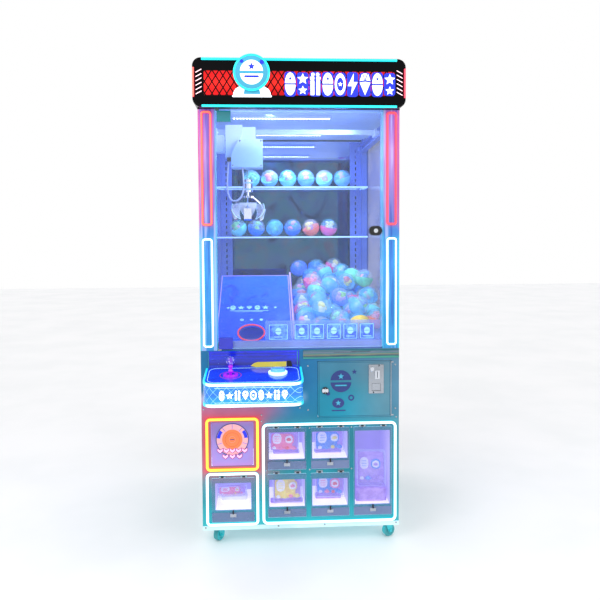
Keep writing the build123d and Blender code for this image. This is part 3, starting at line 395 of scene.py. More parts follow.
MAT_PANE = clear("acrylic_clear", rgb(140, 140, 200), 0.12)
MAT_BAND = clear("acrylic_band", rgb(112, 130, 172), 0.6, 0.05, 0.14)
MAT_EDGE = plain("acrylic_edge", rgb(180, 224, 240), 0.2, coat=0.5, glow=rgb(160, 224, 246), power=0.55, vary=0.04)
MAT_DOORGLASS = clear("door_glass", rgb(196, 220, 252), 0.055, 0.03)
g = Mat("side_glass_clear", rgb(52, 74, 140), 0.16, spec=0.3, glow=rgb(52, 74, 140), power=0.1)
g.put("Alpha", g.step(g.noise(3.0, 4.0, 0.6), 0.3, 0.7, 0.48, 0.66))
g.put("Roughness", g.f("MULTIPLY_ADD", g.noise(8.0, 3.0, 0.6), 0.1, 0.12))
MAT_SIDEGLASS = g.m
MAT_SHELF = clear("shelf_glass", rgb(170, 205, 250), 0.16, 0.05, 0.1)
MAT_SHELFEDGE = plain("shelf_edge", rgb(170, 205, 250), 0.2, coat=0.5, glow=rgb(150, 195, 250), power=0.7, vary=0.05)
MAT_CLAWCLEAR = clear("claw_clear", rgb(214, 226, 255), 0.34, 0.05, 0.15)

# mirror at the back, with a painted reflection along its top
g = Mat("tinted_mirror", rough=0.035, metal=1.0)
w = g.noise(3.4, 6.0, 0.66, (1.6, 1.0, 1.2), 2.4)
g.put("Base Color", g.ramp(w, [(0.32, rgb(22, 34, 66)), (0.46, rgb(54, 80, 124)), (0.54, rgb(40, 92, 112)), (0.62, rgb(84, 74, 104)), (0.74, rgb(16, 26, 52))]))
dark_ = g.ramp(w, [(0.32, rgb(22, 34, 66)), (0.46, rgb(54, 80, 124)), (0.54, rgb(40, 92, 112)), (0.62, rgb(84, 74, 104)), (0.74, rgb(16, 26, 52))])
_, _, mz = g.xyz()
# painted reflection: above about z 1.75 m the mirror is painted pale blue
g.put("Base Color", g.mix(g.step(mz, 1.748, 1.762), dark_, rgb(190, 206, 240)))
g.bump(g.noise(2.0, 2.0), 0.015, 0.001)
MAT_MIRROR = g.m


def tube(name, core, rim, power, lean=0.0):
    """diffused light tube: paler on the face that looks out, fuller colour on its flanks"""
    g = Mat(name, core, 0.35, coat=0.3, glow=core, power=power)
    nrm = g.node("ShaderNodeNewGeometry").outputs["Normal"]
    sep = g.node("ShaderNodeSeparateXYZ")
    g.feed(sep.inputs[0], nrm)
    face = g.step(g.f("ABSOLUTE", sep.outputs[1]), 0.55, 0.97)
    spots = g.f("MULTIPLY_ADD", g.noise(55.0, 2.0), 0.25, 0.87)
    col = g.mix(face, rim, core)
    col = g.mix(1.0, col, g.ramp(spots, [(0.0, rgb(225, 225, 225)), (1.0, WHITE)]), "MULTIPLY")
    g.put("Emission Color", col)
    g.put("Base Color", col)
    return g.m


MAT_NWHITE = tube("tube_white", rgb(246, 255, 255), rgb(30, 176, 190), 1.06)
MAT_NRED = tube("tube_red", rgb(255, 104, 80), rgb(228, 30, 84), 1.08)
MAT_NRED2 = tube("tube_rose", rgb(250, 70, 84), rgb(228, 24, 80), 1.08)
MAT_NCYAN = tube("tube_cyan", rgb(24, 222, 222), rgb(0, 170, 180), 1.0)
MAT_NYELLOW = tube("tube_yellow", rgb(255, 214, 60), rgb(250, 120, 20), 1.15)
MAT_HATCH = tube("hatch_pink", rgb(255, 226, 232), rgb(255, 120, 150), 1.2)

# desk: deep glossy blue with speckles
g = Mat("desk_gloss", rough=0.16, coat=0.5, coat_rough=0.06, glow=WHITE, power=0.34)
x, y, z = g.xyz()
# painted shade: darkest just above the crease where the top meets the upstand
base = g.ramp(g.step(z, 0.75, 0.85), [(0.0, rgb(10, 62, 216)), (0.28, rgb(8, 40, 190)), (0.4, rgb(6, 20, 120)), (0.75, rgb(14, 44, 190)), (1.0, rgb(10, 34, 200))])
base = g.mix(g.step(g.noise(5.0, 5.0, 0.6, (1, 1, 5), 1.5), 0.5, 0.72, 0.0, 0.6), base, rgb(16, 30, 120))
edge = g.off_rect(-393.5, -6.5, -1000, 2000)
base = g.mix(g.step(g.cells(95.0), 0.05, 0.09, 0.9, 0.0), base, rgb(120, 190, 255))
g.put("Emission Color", g.finish(base, 0.12, vary=0.06, grain=200, bump=0.03, spread=0.06))
MAT_DESK = g.m

# apron band with light lattice
g = Mat("apron_lattice", rough=0.22, coat=0.7, coat_rough=0.06, glow=WHITE, power=0.42)
x, y, z = g.xyz()
base = g.ramp(g.step(z, 0.672, 0.741), [(0.0, rgb(16, 150, 226)), (0.5, rgb(10, 104, 214)), (1.0, rgb(14, 120, 224))])
line = g.lattice(g.f("SUBTRACT", x, y), z, 0.036, 0.0012)
base = g.mix(line, base, rgb(150, 226, 250))
base = g.mix(g.step(g.noise(7.0, 3.0), 0.45, 0.75, 0.0, 0.45), base, rgb(20, 96, 205))
g.put("Emission Color", g.finish(base, 0.22, vary=0.04, grain=300, bump=0.04))
MAT_APRON = g.m

MAT_ICONWHITE = plain("icon_white", rgb(246, 250, 255), 0.28, coat=0.5, vary=0.02, glow=rgb(240, 248, 255), power=0.85)
MAT_ICONBLUE = plain("icon_blue", rgb(40, 52, 190), 0.28, spec=0.2, vary=0.05, glow=rgb(44, 60, 215), power=0.6)
MAT_YELLOW = plain("stripe_yellow", rgb(206, 196, 56), 0.3, coat=0.5, vary=0.08, glow=rgb(220, 180, 40), power=0.2)
MAT_VIOLET = plain("stick_violet", rgb(150, 20, 210), 0.2, coat=0.5, vary=0.06, glow=rgb(170, 10, 225), power=0.6)
MAT_BALL = Mat("stick_crystal", rgb(176, 190, 250), 0.05, coat=1.0, coat_rough=0.02, alpha=0.66, glow=rgb(150, 130, 250), power=0.12)
# painted glints: pale and deep blue speckles stand in for light on the ball's facets
MAT_BALL.put("Base Color", MAT_BALL.mix(MAT_BALL.step(MAT_BALL.cells(150.0), 0.25, 0.42), rgb(226, 228, 255), rgb(44, 50, 190)))
MAT_BALL.put("Roughness", MAT_BALL.f("MULTIPLY_ADD", MAT_BALL.noise(60.0), 0.08, 0.02))
MAT_BALL = MAT_BALL.m
MAT_BUTTON = plain("button_dome", rgb(86, 170, 250), 0.14, coat=1.0, vary=0.08, glow=rgb(70, 150, 250), power=0.55)
MAT_BEZEL = plain("button_ring", rgb(220, 250, 252), 0.2, coat=0.6, vary=0.03, glow=rgb(190, 245, 250), power=0.8)

# corner columns: printed gradient, lit by the loops in front of them
g = Mat("column_print", rough=0.24, spec=0.3, coat=0.2, coat_rough=0.07, glow=WHITE, power=0.34)
x, y, z = g.xyz()
base = g.ramp(g.step(z, 0.85, 1.87), [(0.0, rgb(44, 130, 190)), (0.3, rgb(66, 136, 214)), (0.5, rgb(60, 118, 190)),
                                     (0.62, rgb(100, 118, 196)), (0.8, rgb(140, 126, 200)), (0.93, rgb(166, 136, 202)), (1.0, rgb(140, 108, 200))])
streak = g.noise(46.0, 3.0, 0.6, (1.0, 0.4, 0.035))
base = g.mix(g.step(streak, 0.52, 0.6, 0.0, 0.6), base, rgb(176, 186, 236))
base = g.mix(g.step(streak, 0.36, 0.44, 0.55, 0.0), base, rgb(40, 60, 160))
for cx in (-390, 390):
    red = g.glow_near(g.off_rect(cx - 19, cx + 19, 1384, 1853), 0.005)
    base = g.mix(g.f("MULTIPLY", red, 0.6), base, rgb(226, 74, 130))
    cold = g.glow_near(g.off_rect(cx - 19, cx + 19, 870, 1324), 0.004)
    base = g.mix(g.f("MULTIPLY", cold, 0.7), base, rgb(60, 214, 224))
outer = g.step(g.f("ABSOLUTE", x), 0.4165, 0.4215)
base = g.mix(g.f("MULTIPLY", outer, g.step(z, 1.34, 1.42, 0.0, 0.55)), base, rgb(226, 70, 120))
base = g.mix(g.f("MULTIPLY", outer, g.step(z, 1.30, 1.36, 0.6, 0.0)), base, rgb(60, 206, 206))
inner_ = g.step(g.f("ABSOLUTE", x), 0.3545, 0.3585, 1.0, 0.0)
base = g.mix(g.f("MULTIPLY", inner_, 0.6), base, rgb(70, 170, 196))
g.put("Emission Color", g.finish(base, 0.2, vary=0.04, grain=300, bump=0.04))
MAT_COLUMN = g.m

# marquee face: gloss black with a red band under a black diamond mesh
g = Mat("marquee_print", rough=0.3, spec=0.06, coat=0.02, coat_rough=0.1, glow=WHITE, power=0.55)
x, y, z = g.xyz()
inband = g.f("MULTIPLY", g.band(z, 1.914, 2.012, 0.0015), g.step(g.f("ABSOLUTE", x), 0.392, 0.395, 1.0, 0.0))
mesh = g.lattice(g.f("MULTIPLY", x, 1.6), g.f("SUBTRACT", z, 0.0), 0.048, 0.0086)
red = g.ramp(g.step(z, 1.914, 2.012), [(0.0, rgb(176, 20, 22)), (0.5, rgb(236, 44, 36)), (1.0, rgb(190, 24, 26))])
red = g.mix(g.step(g.noise(5.0, 2.0), 0.4, 0.7, 0.0, 0.5), red, rgb(226, 30, 34))
inside = g.mix(mesh, red, rgb(22, 6, 8))
base = g.mix(inband, rgb(4, 4, 6), inside)
rim = g.band(z, 1.9085, 1.914, 0.002)
g.put("Emission Color", g.finish(base, 0.3, vary=0.05, grain=300, bump=0.03, spread=0.08))
MAT_MARQ = g.m
MAT_HEADER = plain("header_gloss", rgb(4, 4, 6), 0.24, spec=0.1, coat=0.04, coat_rough=0.08, vary=0.2, grain=400, bump=0.04, spread=0.08)

# chute board: deep blue starfield
g = Mat("board_print", rough=0.3, spec=0.3, coat=0.2, coat_rough=0.1, glow=WHITE, power=0.34)
x, y, z = g.xyz()
base = g.ramp(g.step(z, 0.87, 1.13), [(0.0, rgb(14, 70, 214)), (0.45, rgb(16, 78, 232)), (1.0, rgb(30, 100, 240))])
base = g.mix(g.step(g.noise(9.0, 6.0, 0.65, None, 1.6), 0.5, 0.75, 0.0, 0.75), base, rgb(10, 36, 176))
base = g.mix(g.step(g.noise(7.0, 6.0, 0.7), 0.55, 0.8, 0.0, 0.6), base, rgb(96, 140, 250))
base = g.mix(g.step(g.cells(60.0), 0.05, 0.10, 1.0, 0.0), base, rgb(170, 215, 255))
g.put("Emission Color", g.finish(base, 0.14, vary=0.05, grain=200, bump=0.03, spread=0.06))
MAT_BOARD = g.m
MAT_REDRING = plain("hole_red", rgb(226, 60, 84), 0.22, coat=0.7, vary=0.08, glow=rgb(226, 50, 80), power=0.35)
MAT_LIP = plain("lip_lilac", rgb(176, 150, 246), 0.25, coat=0.5, vary=0.05, glow=rgb(170, 140, 246), power=0.45)
g = Mat("card_print", rough=0.25, coat=0.5, glow=WHITE, power=0.4)
base = g.mix(g.step(g.noise(34.0, 3.0, 0.6), 0.42, 0.6), rgb(28, 84, 216), rgb(84, 150, 236))
g.put("Emission Color", g.finish(base, 0.25, vary=0.05))
MAT_CARD = g.m
MAT_CARDLINE = plain("card_line", rgb(150, 206, 250), 0.3, vary=0.04, glow=rgb(140, 200, 250), power=0.5)
MAT_LEDBAR = plain("led_housing", rgb(150, 172, 220), 0.35, vary=0.03, glow=rgb(150, 176, 232), power=0.4)
MAT_LEDDOT = plain("led_dot", rgb(255, 255, 255), 0.3, vary=0.02, glow=rgb(240, 246, 255), power=9.0)
MAT_RUBBERBELT = plain("belt_rubber", rgb(30, 32, 44), 0.6, vary=0.15, grain=300, bump=0.3)


# ---------------------------------------------------------------------------
# finishes on the carried-over nodes
# ---------------------------------------------------------------------------
def dress(name, mats, pick=None, bevel=0.0, segments=2):
    """materials on a node; pick(centre, normal) gives the index for each face"""
    o = nodes[name]
    me = o.data
    me.materials.clear()
    for m in mats:
        me.materials.append(m)
    for p in me.polygons:
        p.material_index = pick(p.center, p.normal) if pick else 0
    if bevel:
        w = o.modifiers.new("weld", "WELD")
        w.merge_threshold = 0.00002
        b = o.modifiers.new("edge", "BEVEL")
        b.width = bevel
        b.segments = segments
        b.limit_method = "ANGLE"
        b.angle_limit = math.radians(42)
        b.harden_normals = False
    return o


for key in ("fl", "fr", "rl", "rr"):
    dress("caster_fork_" + key, [MAT_TEALCOAT])
    dress("caster_wheel_" + key, [MAT_TREAD, MAT_TEALCOAT],
          lambda c, n: 1 if abs(n.x) > 0.7 else 0)
dress("base_tray", [MAT_TRAY])
dress("cabinet_panels", [MAT_SIDE, MAT_REAR], lambda c, n: 1 if c.y > (B - 13) * MM else 0)
dress("front_panel", [MAT_FRONT, MAT_LEDGE],
      lambda c, n: 1 if c.y < (F - 0.4) * MM and c.z > 0.8 else 0)
dress("deck_board", [MAT_DECK])
dress("compartment_liners", [MAT_LINER])
dress("service_internals", [MAT_INTERNAL])
dress("service_door", [MAT_DOOR_STEEL, MAT_CHROME],
      lambda c, n: 1 if c.y > B * MM and c.x < -0.24 and c.z > 0.4 else 0)
dress("power_inlet", [MAT_BLACK])
dress("power_switch", [MAT_REDRING])
dress("coin_door", [MAT_COIN, MAT_STEEL],
      lambda c, n: 1 if (c.xy - Vector((0.389, (F - 1.5) * MM))).length < 0.00195 and c.y < (F - 1.4) * MM else 0)
dress("coin_door_lock", [MAT_BLACK, MAT_CHROME], lambda c, n: 1 if (c.xz - Vector((0.104, 0.6734))).length < 0.0105 else 0)
dress("coin_plate", [MAT_STEEL, MAT_CHROME, MAT_BLACK],
      lambda c, n: 2 if c.y > (F - 1.9) * MM else (1 if c.y < (F - 6.2) * MM else 0))
dress("reject_button", [MAT_CHROME])
dress("coin_return_flap", [MAT_STEEL])
dress("prize_door", [MAT_PRIZE])
for i, (cx, w, z0, z1, hw, wz0, wz1) in enumerate(LOCKERS, start=1):
    def pick(c, n, z1=z1, wz=wz0):
        if c.y < (F - 7.05) * MM:
            return 3 if c.y > (F - 9.6) * MM and c.z < (wz - 9.4) * MM else 2
        if c.z > (z1 + 0.3) * MM:
            return 3
        return 1 if abs(n.y) < 0.5 else 0
    dress("locker_door_%d" % i, [MAT_PANE, MAT_EDGE, MAT_BLACK, MAT_STEEL], pick)
dress("hinge_leaves", [MAT_STEEL])
dress("neon_white", [MAT_NWHITE], bevel=0.0026, segments=3)
dress("neon_red", [MAT_NRED, MAT_NRED2], lambda c, n: 1 if c.x > 0 else 0, bevel=0.0026, segments=3)
dress("neon_cyan", [MAT_NCYAN])
dress("neon_yellow", [MAT_NYELLOW], bevel=0.003, segments=3)
dress("desk_shell", [MAT_APRON])


def desk_pick(c, n):
    off = -math.sin(TILT) * (c.y - F * MM) + math.cos(TILT) * (c.z - DESK_REAR * MM)
    if (c.xy - Vector((BUTTON[0] * MM, BUTTON[1] * MM))).length < 0.0405 and off > 0.0003:
        return 1
    if (c.xy - Vector((STICK[0] * MM, STICK[1] * MM))).length < 0.0315 and off > 0.0003:
        return 2
    return 3 if off < -0.0069 and c.y < (F - 6.5) * MM else 0


dress("desk_top", [MAT_DESK, MAT_BEZEL, MAT_VIOLET, MAT_INTERNAL], desk_pick)
dress("joystick_gimbal", [MAT_STEEL])
dress("drop_button", [MAT_BUTTON, MAT_INTERNAL], lambda c, n: 0 if c.z > 0.7708 else 1)
dress("light_columns", [MAT_COLUMN])
dress("rear_posts", [MAT_POST])
dress("side_glass", [MAT_SIDEGLASS])
dress("back_mirror", [MAT_MIRROR])
dress("ceiling_lights", [MAT_LEDBAR, MAT_LEDDOT], lambda c, n: 1 if c.z < 1.8559 else 0)
dress("glass_door", [MAT_DOORGLASS, MAT_EDGE], lambda c, n: 1 if abs(n.y) < 0.5 else 0)
MAT_CLAMP_TEAL = plain("clamp_teal", rgb(8, 128, 140), 0.25, coat=0.6, vary=0.08, glow=rgb(4, 120, 132), power=0.15)
MAT_CLAMP_BLUE = plain("clamp_blue", rgb(36, 48, 190), 0.25, coat=0.6, vary=0.08, glow=rgb(30, 40, 190), power=0.15)
dress("glass_door_fittings", [MAT_CHROME, MAT_BLACK, MAT_CLAMP_TEAL, MAT_CLAMP_BLUE],
      lambda c, n: (1 if c.y > (F - 8.5) * MM else 0) if c.x > 0.2 else (2 if c.z > 1.3 else 3))
MAT_CEILING = plain("ceiling_coat", rgb(140, 166, 216), 0.36, spec=0.3, vary=0.08, grain=300, bump=0.06, glow=rgb(130, 164, 222), power=0.42)
dress("header_box", [MAT_HEADER, MAT_CEILING], lambda c, n: 1 if n.z < -0.9 and c.z < 1.93 and abs(c.x) < 0.36 and c.y > (F + 4) * MM else 0)
dress("marquee_face", [MAT_MARQ, MAT_EMBLEM_SKY],
      lambda c, n: 1 if c.y < (F - 47.2) * MM else 0)
dress("glass_shelves", [MAT_SHELF, MAT_SHELFEDGE], lambda c, n: 1 if abs(n.z) < 0.5 else 0)


def board_pick(c, n):
    y, z = c.y / MM, c.z / MM
    if c.x / MM > -26.9 and y > F + 54:
        return 0 if n.x > -0.5 and abs(n.x) > 0.5 else 4
    if y < F + 53:
        return 2 if y < F + 48.2 else 3
    up_off = (z - (CH_Z0 + (y - CH_Y0) * math.tan(SL))) * math.cos(SL)
    if up_off > 0.6:
        return 1
    return 0


MAT_FENCE = clear("fence_clear", rgb(120, 165, 245), 0.34, 0.06, 0.15)
dress("playfield_boards", [MAT_BOARD, MAT_REDRING, MAT_CARD, MAT_FENCE, MAT_LIP], board_pick)
dress("gantry_rails", [MAT_POST])
dress("bridge", [MAT_BEAM, MAT_COVER], lambda c, n: 1 if c.x < -0.3305 else 0)
dress("trolley", [MAT_COVER, MAT_BLACK], lambda c, n: 1 if (c.z > 1.829 and c.y > (F + 275) * MM) or (c.x < -0.2985 and c.y < (F + 243.5) * MM) else 0)
dress("claw_housing", [MAT_CHROME])
for i in (1, 2, 3):
    dress("claw_prong_%d" % i, [MAT_CHROME])
cable.data.materials.append(MAT_SLOTDARK)


# ---------------------------------------------------------------------------
# mesh helpers
# ---------------------------------------------------------------------------
def add(name, me, mats, body, smooth=True):
    o = bpy.data.objects.new(name, me)
    scene.collection.objects.link(o)
    for m in mats:
        me.materials.append(m)
    if smooth:
        for p in me.polygons:
            p.use_smooth = True
    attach(o, body)
    return o


def sharp(o, deg=35):
    """keeps creases above deg crisp on a smooth-shaded piece"""
    me = o.data
    bm = bmesh.new()
    bm.from_mesh(me)
    for e in bm.edges:
        if len(e.link_faces) == 2 and e.calc_face_angle(0) > math.radians(deg):
            e.smooth = False
    bm.to_mesh(me)
    bm.free()
    return o


FRONT = Matrix(((1, 0, 0, 0), (0, 0, -1, 0), (0, 1, 0, 0), (0, 0, 0, 1)))
BOARD = Matrix(((1, 0, 0, 0), (0, math.cos(SL), -math.sin(SL), CH_Y0 * MM),
                (0, math.sin(SL), math.cos(SL), CH_Z0 * MM), (0, 0, 0, 1)))


def cut(name, loops, a, b, bevel=0.0004, frame_m=FRONT):
    """mesh of flat shapes cut from closed outlines, between offsets a and b along the frame's normal (mm)"""
    cu = bpy.data.curves.new(name, "CURVE")
    cu.dimensions = "2D"
    cu.fill_mode = "BOTH"
    cu.extrude = max(abs(b - a) * MM / 2 - bevel, 0.00005)
    cu.bevel_depth = bevel
    cu.bevel_resolution = 1
    cu.offset = -bevel
    for loop in loops:
        s = cu.splines.new("POLY")
        s.points.add(len(loop) - 1)
        for p, (px, pz) in zip(s.points, loop):
            p.co = (px * MM, pz * MM, 0, 1)
        s.use_cyclic_u = True
    o = bpy.data.objects.new(name, cu)
    scene.collection.objects.link(o)
    bpy.context.view_layer.update()
    me = bpy.data.meshes.new_from_object(o.evaluated_get(bpy.context.evaluated_depsgraph_get()))
    bpy.data.objects.remove(o)
    me.transform(frame_m @ Matrix.Translation((0, 0, (a + b) / 2 * MM)))
    me.name = name
    return me


def piece(name, loops, a, b, mat, body="cabinet", bevel=0.0004, frame_m=FRONT):
    return sharp(add(name, cut(name, loops, a, b, bevel, frame_m), [mat], body))


def circle(cx, cz, r, n=40, rz=None, t0=0.0, t1=math.tau):
    rz = r if rz is None else rz
    k = n if t1 - t0 >= math.tau - 1e-6 else n + 1
    return [(cx + r * math.cos(t0 + (t1 - t0) * i / n), cz + rz * math.sin(t0 + (t1 - t0) * i / n)) for i in range(k)]


def rrect(x0, x1, z0, z1, r, n=5):
    pts = []
    for cx, cz, t in ((x1 - r, z1 - r, 0), (x0 + r, z1 - r, 1), (x0 + r, z0 + r, 2), (x1 - r, z0 + r, 3)):
        pts += [(cx + r * math.cos((t + i / n) * math.pi / 2), cz + r * math.sin((t + i / n) * math.pi / 2)) for i in range(n + 1)]
    return pts


def star(cx, cz, r, inner=0.45, n=5, turn=math.pi / 2):
    return [(cx + (r if i % 2 == 0 else r * inner) * math.cos(turn + math.pi * i / n),
             cz + (r if i % 2 == 0 else r * inner) * math.sin(turn + math.pi * i / n)) for i in range(2 * n)]


def capsule_icon(cx, cz, rx, rz, gap=0.07, starred=True):
    """capsule split at a level waist: two halves, the upper with a star cut in it"""
    g_ = gap * rz
    top = circle(cx, cz + g_, rx, 24, rz - g_, 0, math.pi)
    bot = circle(cx, cz - g_, rx, 24, rz - g_, math.pi, math.tau)
    out = [top, bot]
    if starred:
        out.append(star(cx, cz + rz * 0.48, rx * 0.42))
    return out


def gift_icon(cx, cz, w, h):
    x0, x1, z0, z1 = cx - w / 2, cx + w / 2, cz - h / 2, cz + h / 2
    lid = z1 - h * 0.30
    t = w * 0.09
    return [rrect(x0 + 2, cx - t, z0, lid - 3, 2), rrect(cx + t, x1 - 2, z0, lid - 3, 2),
            rrect(x0, cx - t, lid, lid + h * 0.13, 2), rrect(cx + t, x1, lid, lid + h * 0.13, 2),
            circle(cx - w * 0.23, z1 - h * 0.07, w * 0.17, 20, h * 0.08), circle(cx + w * 0.23, z1 - h * 0.07, w * 0.17, 20, h * 0.08)]


def gem_icon(cx, cz, w, h):
    return [[(cx - w / 2, cz + h * 0.16), (cx - w * 0.28, cz + h / 2), (cx - w * 0.06, cz + h * 0.2)],
            [(cx + w / 2, cz + h * 0.16), (cx + w * 0.06, cz + h * 0.2), (cx + w * 0.28, cz + h / 2)],
            [(cx - w * 0.19, cz + h / 2), (cx, cz + h * 0.24), (cx + w * 0.19, cz + h / 2)],
            [(cx - w / 2, cz + h * 0.08), (cx, cz + h * 0.12), (cx + w / 2, cz + h * 0.08), (cx, cz - h / 2)]]


def ball_icon(cx, cz, r, rz):
    return [circle(cx, cz, r, 36, rz), circle(cx, cz, r * 0.62, 30, rz * 0.62), star(cx, cz, r * 0.44)]


def bolt_icon(cx, cz, w, h):
    return [[(cx + w * 0.12, cz + h / 2), (cx - w / 2, cz - h * 0.08), (cx - w * 0.06, cz - h * 0.08),
             (cx - w * 0.18, cz - h / 2), (cx + w / 2, cz + h * 0.1), (cx + w * 0.06, cz + h * 0.1)]]


def grow(loops, k):
    """each outline scaled about its own middle, for a backing plate"""
    out = []
    for lp in loops:
        mx = sum(p[0] for p in lp) / len(lp)
        mz = sum(p[1] for p in lp) / len(lp)
        out.append([(mx + (px - mx) * k, mz + (pz - mz) * k) for px, pz in lp])
    return out


def lathe(profile, seg=40):
    """mesh of revolution about Z from (r, z) pairs in mm"""
    bm = bmesh.new()
    rings = []
    for r, z_ in profile:
        if r < 1e-6:
            rings.append([bm.verts.new((0, 0, z_ * MM))])
        else:
            rings.append([bm.verts.new((r * MM * math.cos(math.tau * i / seg), r * MM * math.sin(math.tau * i / seg), z_ * MM))
                          for i in range(seg)])
    for a, b in zip(rings, rings[1:]):
        if len(a) == 1 and len(b) == 1:
            continue
        for i in range(seg):
            j = (i + 1) % seg
            if len(a) == 1:
                bm.faces.new((a[0], b[j], b[i]))
            elif len(b) == 1:
                bm.faces.new((a[i], a[j], b[0]))
            else:
                bm.faces.new((a[i], a[j], b[j], b[i]))
    bmesh.ops.recalc_face_normals(bm, faces=bm.faces)
    me = bpy.data.meshes.new("lathe")
    bm.to_mesh(me)
    bm.free()
    return me


def gather(name, parts):
    """one mesh from (mesh, matrix, material index) triples"""
    bm = bmesh.new()
    for me, mx, mi in parts:
        nv, nf = len(bm.verts), len(bm.faces)
        bm.from_mesh(me)
        bm.verts.ensure_lookup_table()
        bm.faces.ensure_lookup_table()
        bmesh.ops.transform(bm, matrix=mx, verts=bm.verts[nv:])
        for f_ in bm.faces[nf:]:
            f_.material_index = mi
    out = bpy.data.meshes.new(name)
    bm.to_mesh(out)
    bm.free()
    return out


def softbox(w, d, h, r=0.2, cuts=2):
    """rounded block, w d h in mm"""
    bm = bmesh.new()
    bmesh.ops.create_cube(bm, size=1.0)
    bmesh.ops.subdivide_edges(bm, edges=bm.edges, cuts=cuts, use_grid_fill=True)
    lim = 0.5
    for v in bm.verts:
        c = Vector([max(-lim + r, min(lim - r, t)) for t in v.co])
        d_ = v.co - c
        if d_.length > 1e-6:
            v.co = c + d_.normalized() * r
        v.co = Vector((v.co.x * w * MM, v.co.y * d * MM, v.co.z * h * MM))
    bmesh.ops.recalc_face_normals(bm, faces=bm.faces)
    me = bpy.data.meshes.new("softbox")
    bm.to_mesh(me)
    bm.free()
    return me


def at(x_, y_, z_, rot=None, s=1.0):
    m = Matrix.Translation((x_ * MM, y_ * MM, z_ * MM))
    if rot is not None:
        m = m @ Euler(rot).to_matrix().to_4x4()
    return m @ Matrix.Scale(s, 4)


# ---------------------------------------------------------------------------
# marquee
# ---------------------------------------------------------------------------
MY = -(F - 47.0)                       # offset of the face plane along the frame normal
cz = 1959.0
xs = [-40 + 51.5 * i for i in range(9)]
kinds = [capsule_icon(xs[0], cz, 21.5, 46), [star(xs[1], cz + 20, 23.5), star(xs[1], cz - 26, 19)], gift_icon(xs[2], cz, 43, 90),
         capsule_icon(xs[3], cz, 21.5, 46), ball_icon(xs[4], cz, 22.5, 44), bolt_icon(xs[5], cz, 41, 92),
         gem_icon(xs[6], cz, 44, 88), capsule_icon(xs[7], cz, 21.5, 46), [star(xs[8], cz + 20, 23.5), star(xs[8], cz - 26, 19)]]
white_loops = [lp for k in kinds for lp in k]
piece("marquee_icons", white_loops, MY + 3.2, MY + 8.4, MAT_ICONWHITE, bevel=0.0009)
backs = []
for cx_, kind in zip(xs, kinds):
    x0 = max(min(p[0] for lp in kind for p in lp) - 3.0, cx_ - 24.0)
    x1 = min(max(p[0] for lp in kind for p in lp) + 3.0, cx_ + 24.0)
    z0 = min(p[1] for lp in kind for p in lp) - 4.5
    z1 = max(p[1] for lp in kind for p in lp) + 4.5
    backs.append(rrect(x0, x1, z0, z1, 13))
piece("marquee_icon_backs", backs, MY + 0.3, MY + 3.2, MAT_ICONBLUE, bevel=0.0007)
hatches = []
for s in (-1, 1):
    for i in range(6):
        zc = 1923 + i * 17.5
        xa, xb = sorted((s * 402, s * 426))
        rise = -s * 13
        hatches.append([(xa, zc - rise / 2 - 1.7), (xb, zc + rise / 2 - 1.7), (xb, zc + rise / 2 + 1.7), (xa, zc - rise / 2 + 1.7)])
piece("marquee_hatches", hatches, MY + 0.3, MY + 2.6, MAT_HATCH, bevel=0.0006)

# round emblem: cyan rim, white capsule with a visor band and a star
EX, EZ, EY = -198.0, 2003.0, -(F - 61.0)
piece("emblem_rim", [circle(EX, EZ, 75, 72), circle(EX, EZ, 67, 72)], EY - 5.5, EY + 2.4, MAT_NCYAN, bevel=0.0012)
piece("emblem_ground", [circle(EX, EZ, 67.5, 72)], EY - 0.2, EY + 0.8, MAT_EMBLEM_SKY)
cap_top = circle(EX, EZ + 2.5, 47, 40, 47, math.radians(4), math.radians(176))
cap_bot = circle(EX, EZ - 2.5, 47, 40, 47, math.radians(184), math.radians(356))
piece("emblem_capsule", [cap_bot, cap_top, star(EX, EZ + 23, 16)], EY + 0.6, EY + 3.6, MAT_ICONWHITE, bevel=0.0012)
piece("emblem_detail", [star(EX, EZ + 23, 14.5), rrect(EX - 30, EX + 30, EZ - 22, EZ - 13, 4), circle(EX - 40, EZ + 44, 7, 24),
                        circle(EX + 42, EZ + 41, 9, 24)], EY + 0.6, EY + 4.4, MAT_ICONBLUE, bevel=0.0008)
stand = [(EX - 76, 1915), (EX - 74, 1926), (EX - 66, 1939), (EX - 50, 1949), (EX - 30, 1956), (EX + 30, 1956), (EX + 50, 1949),
         (EX + 68, 1939), (EX + 76, 1926), (EX + 78, 1915)]
piece("emblem_stand", [stand], MY + 0.3, MY + 3.0, MAT_ICONWHITE, bevel=0.0009)
piece("emblem_stand_band", [[(EX - 34, 1917), (EX - 30, 1934), (EX - 12, 1941), (EX + 14, 1941), (EX + 32, 1934), (EX + 36, 1917)]],
      MY + 3.0, MY + 5.0, MAT_EMBLEM_SKY, bevel=0.0009)
piece("emblem_foot", [rrect(EX - 80, EX + 82, 1905, 1913, 3.5)], MY + 0.3, MY + 5.0, MAT_ICONWHITE, bevel=0.0012)

# ---------------------------------------------------------------------------
# desk: shapes on the apron, stripe on the upstand, stick and lines
# ---------------------------------------------------------------------------
AY = -(F - 192.0)
row = []
for i, cx_ in enumerate([-325 + 31.2 * k for k in range(9)]):
    kind = (capsule_icon(cx_, 706, 11, 20.5), [star(cx_, 705, 16)], gift_icon(cx_, 706, 25, 39), gem_icon(cx_, 706, 26, 37),
            ball_icon(cx_, 706, 13.5, 19))[i % 5]
    row += kind
piece("apron_icons", row, AY + 0.3, AY + 2.6, MAT_ICONWHITE, bevel=0.0005)
piece("apron_frame", [rrect(-396 + 42, -4 - 42, 676, 678, 0.9), rrect(-396 + 42, -4 - 42, 735, 737, 0.9)], AY + 0.2, AY + 1.2,
      MAT_EDGE)
UY = -(F - 6.0)
piece("upstand_stripe", [[(-214, 786), (-192, 780.5), (-62, 781), (-62, 803), (-186, 802), (-200, 797)]], UY + 0.2, UY + 1.4, MAT_YELLOW)
piece("upstand_line", [[(-60, 781), (-36, 781), (-42, 806), (-60, 806)]], UY + 0.2, UY + 1.0, MAT_BLACK)
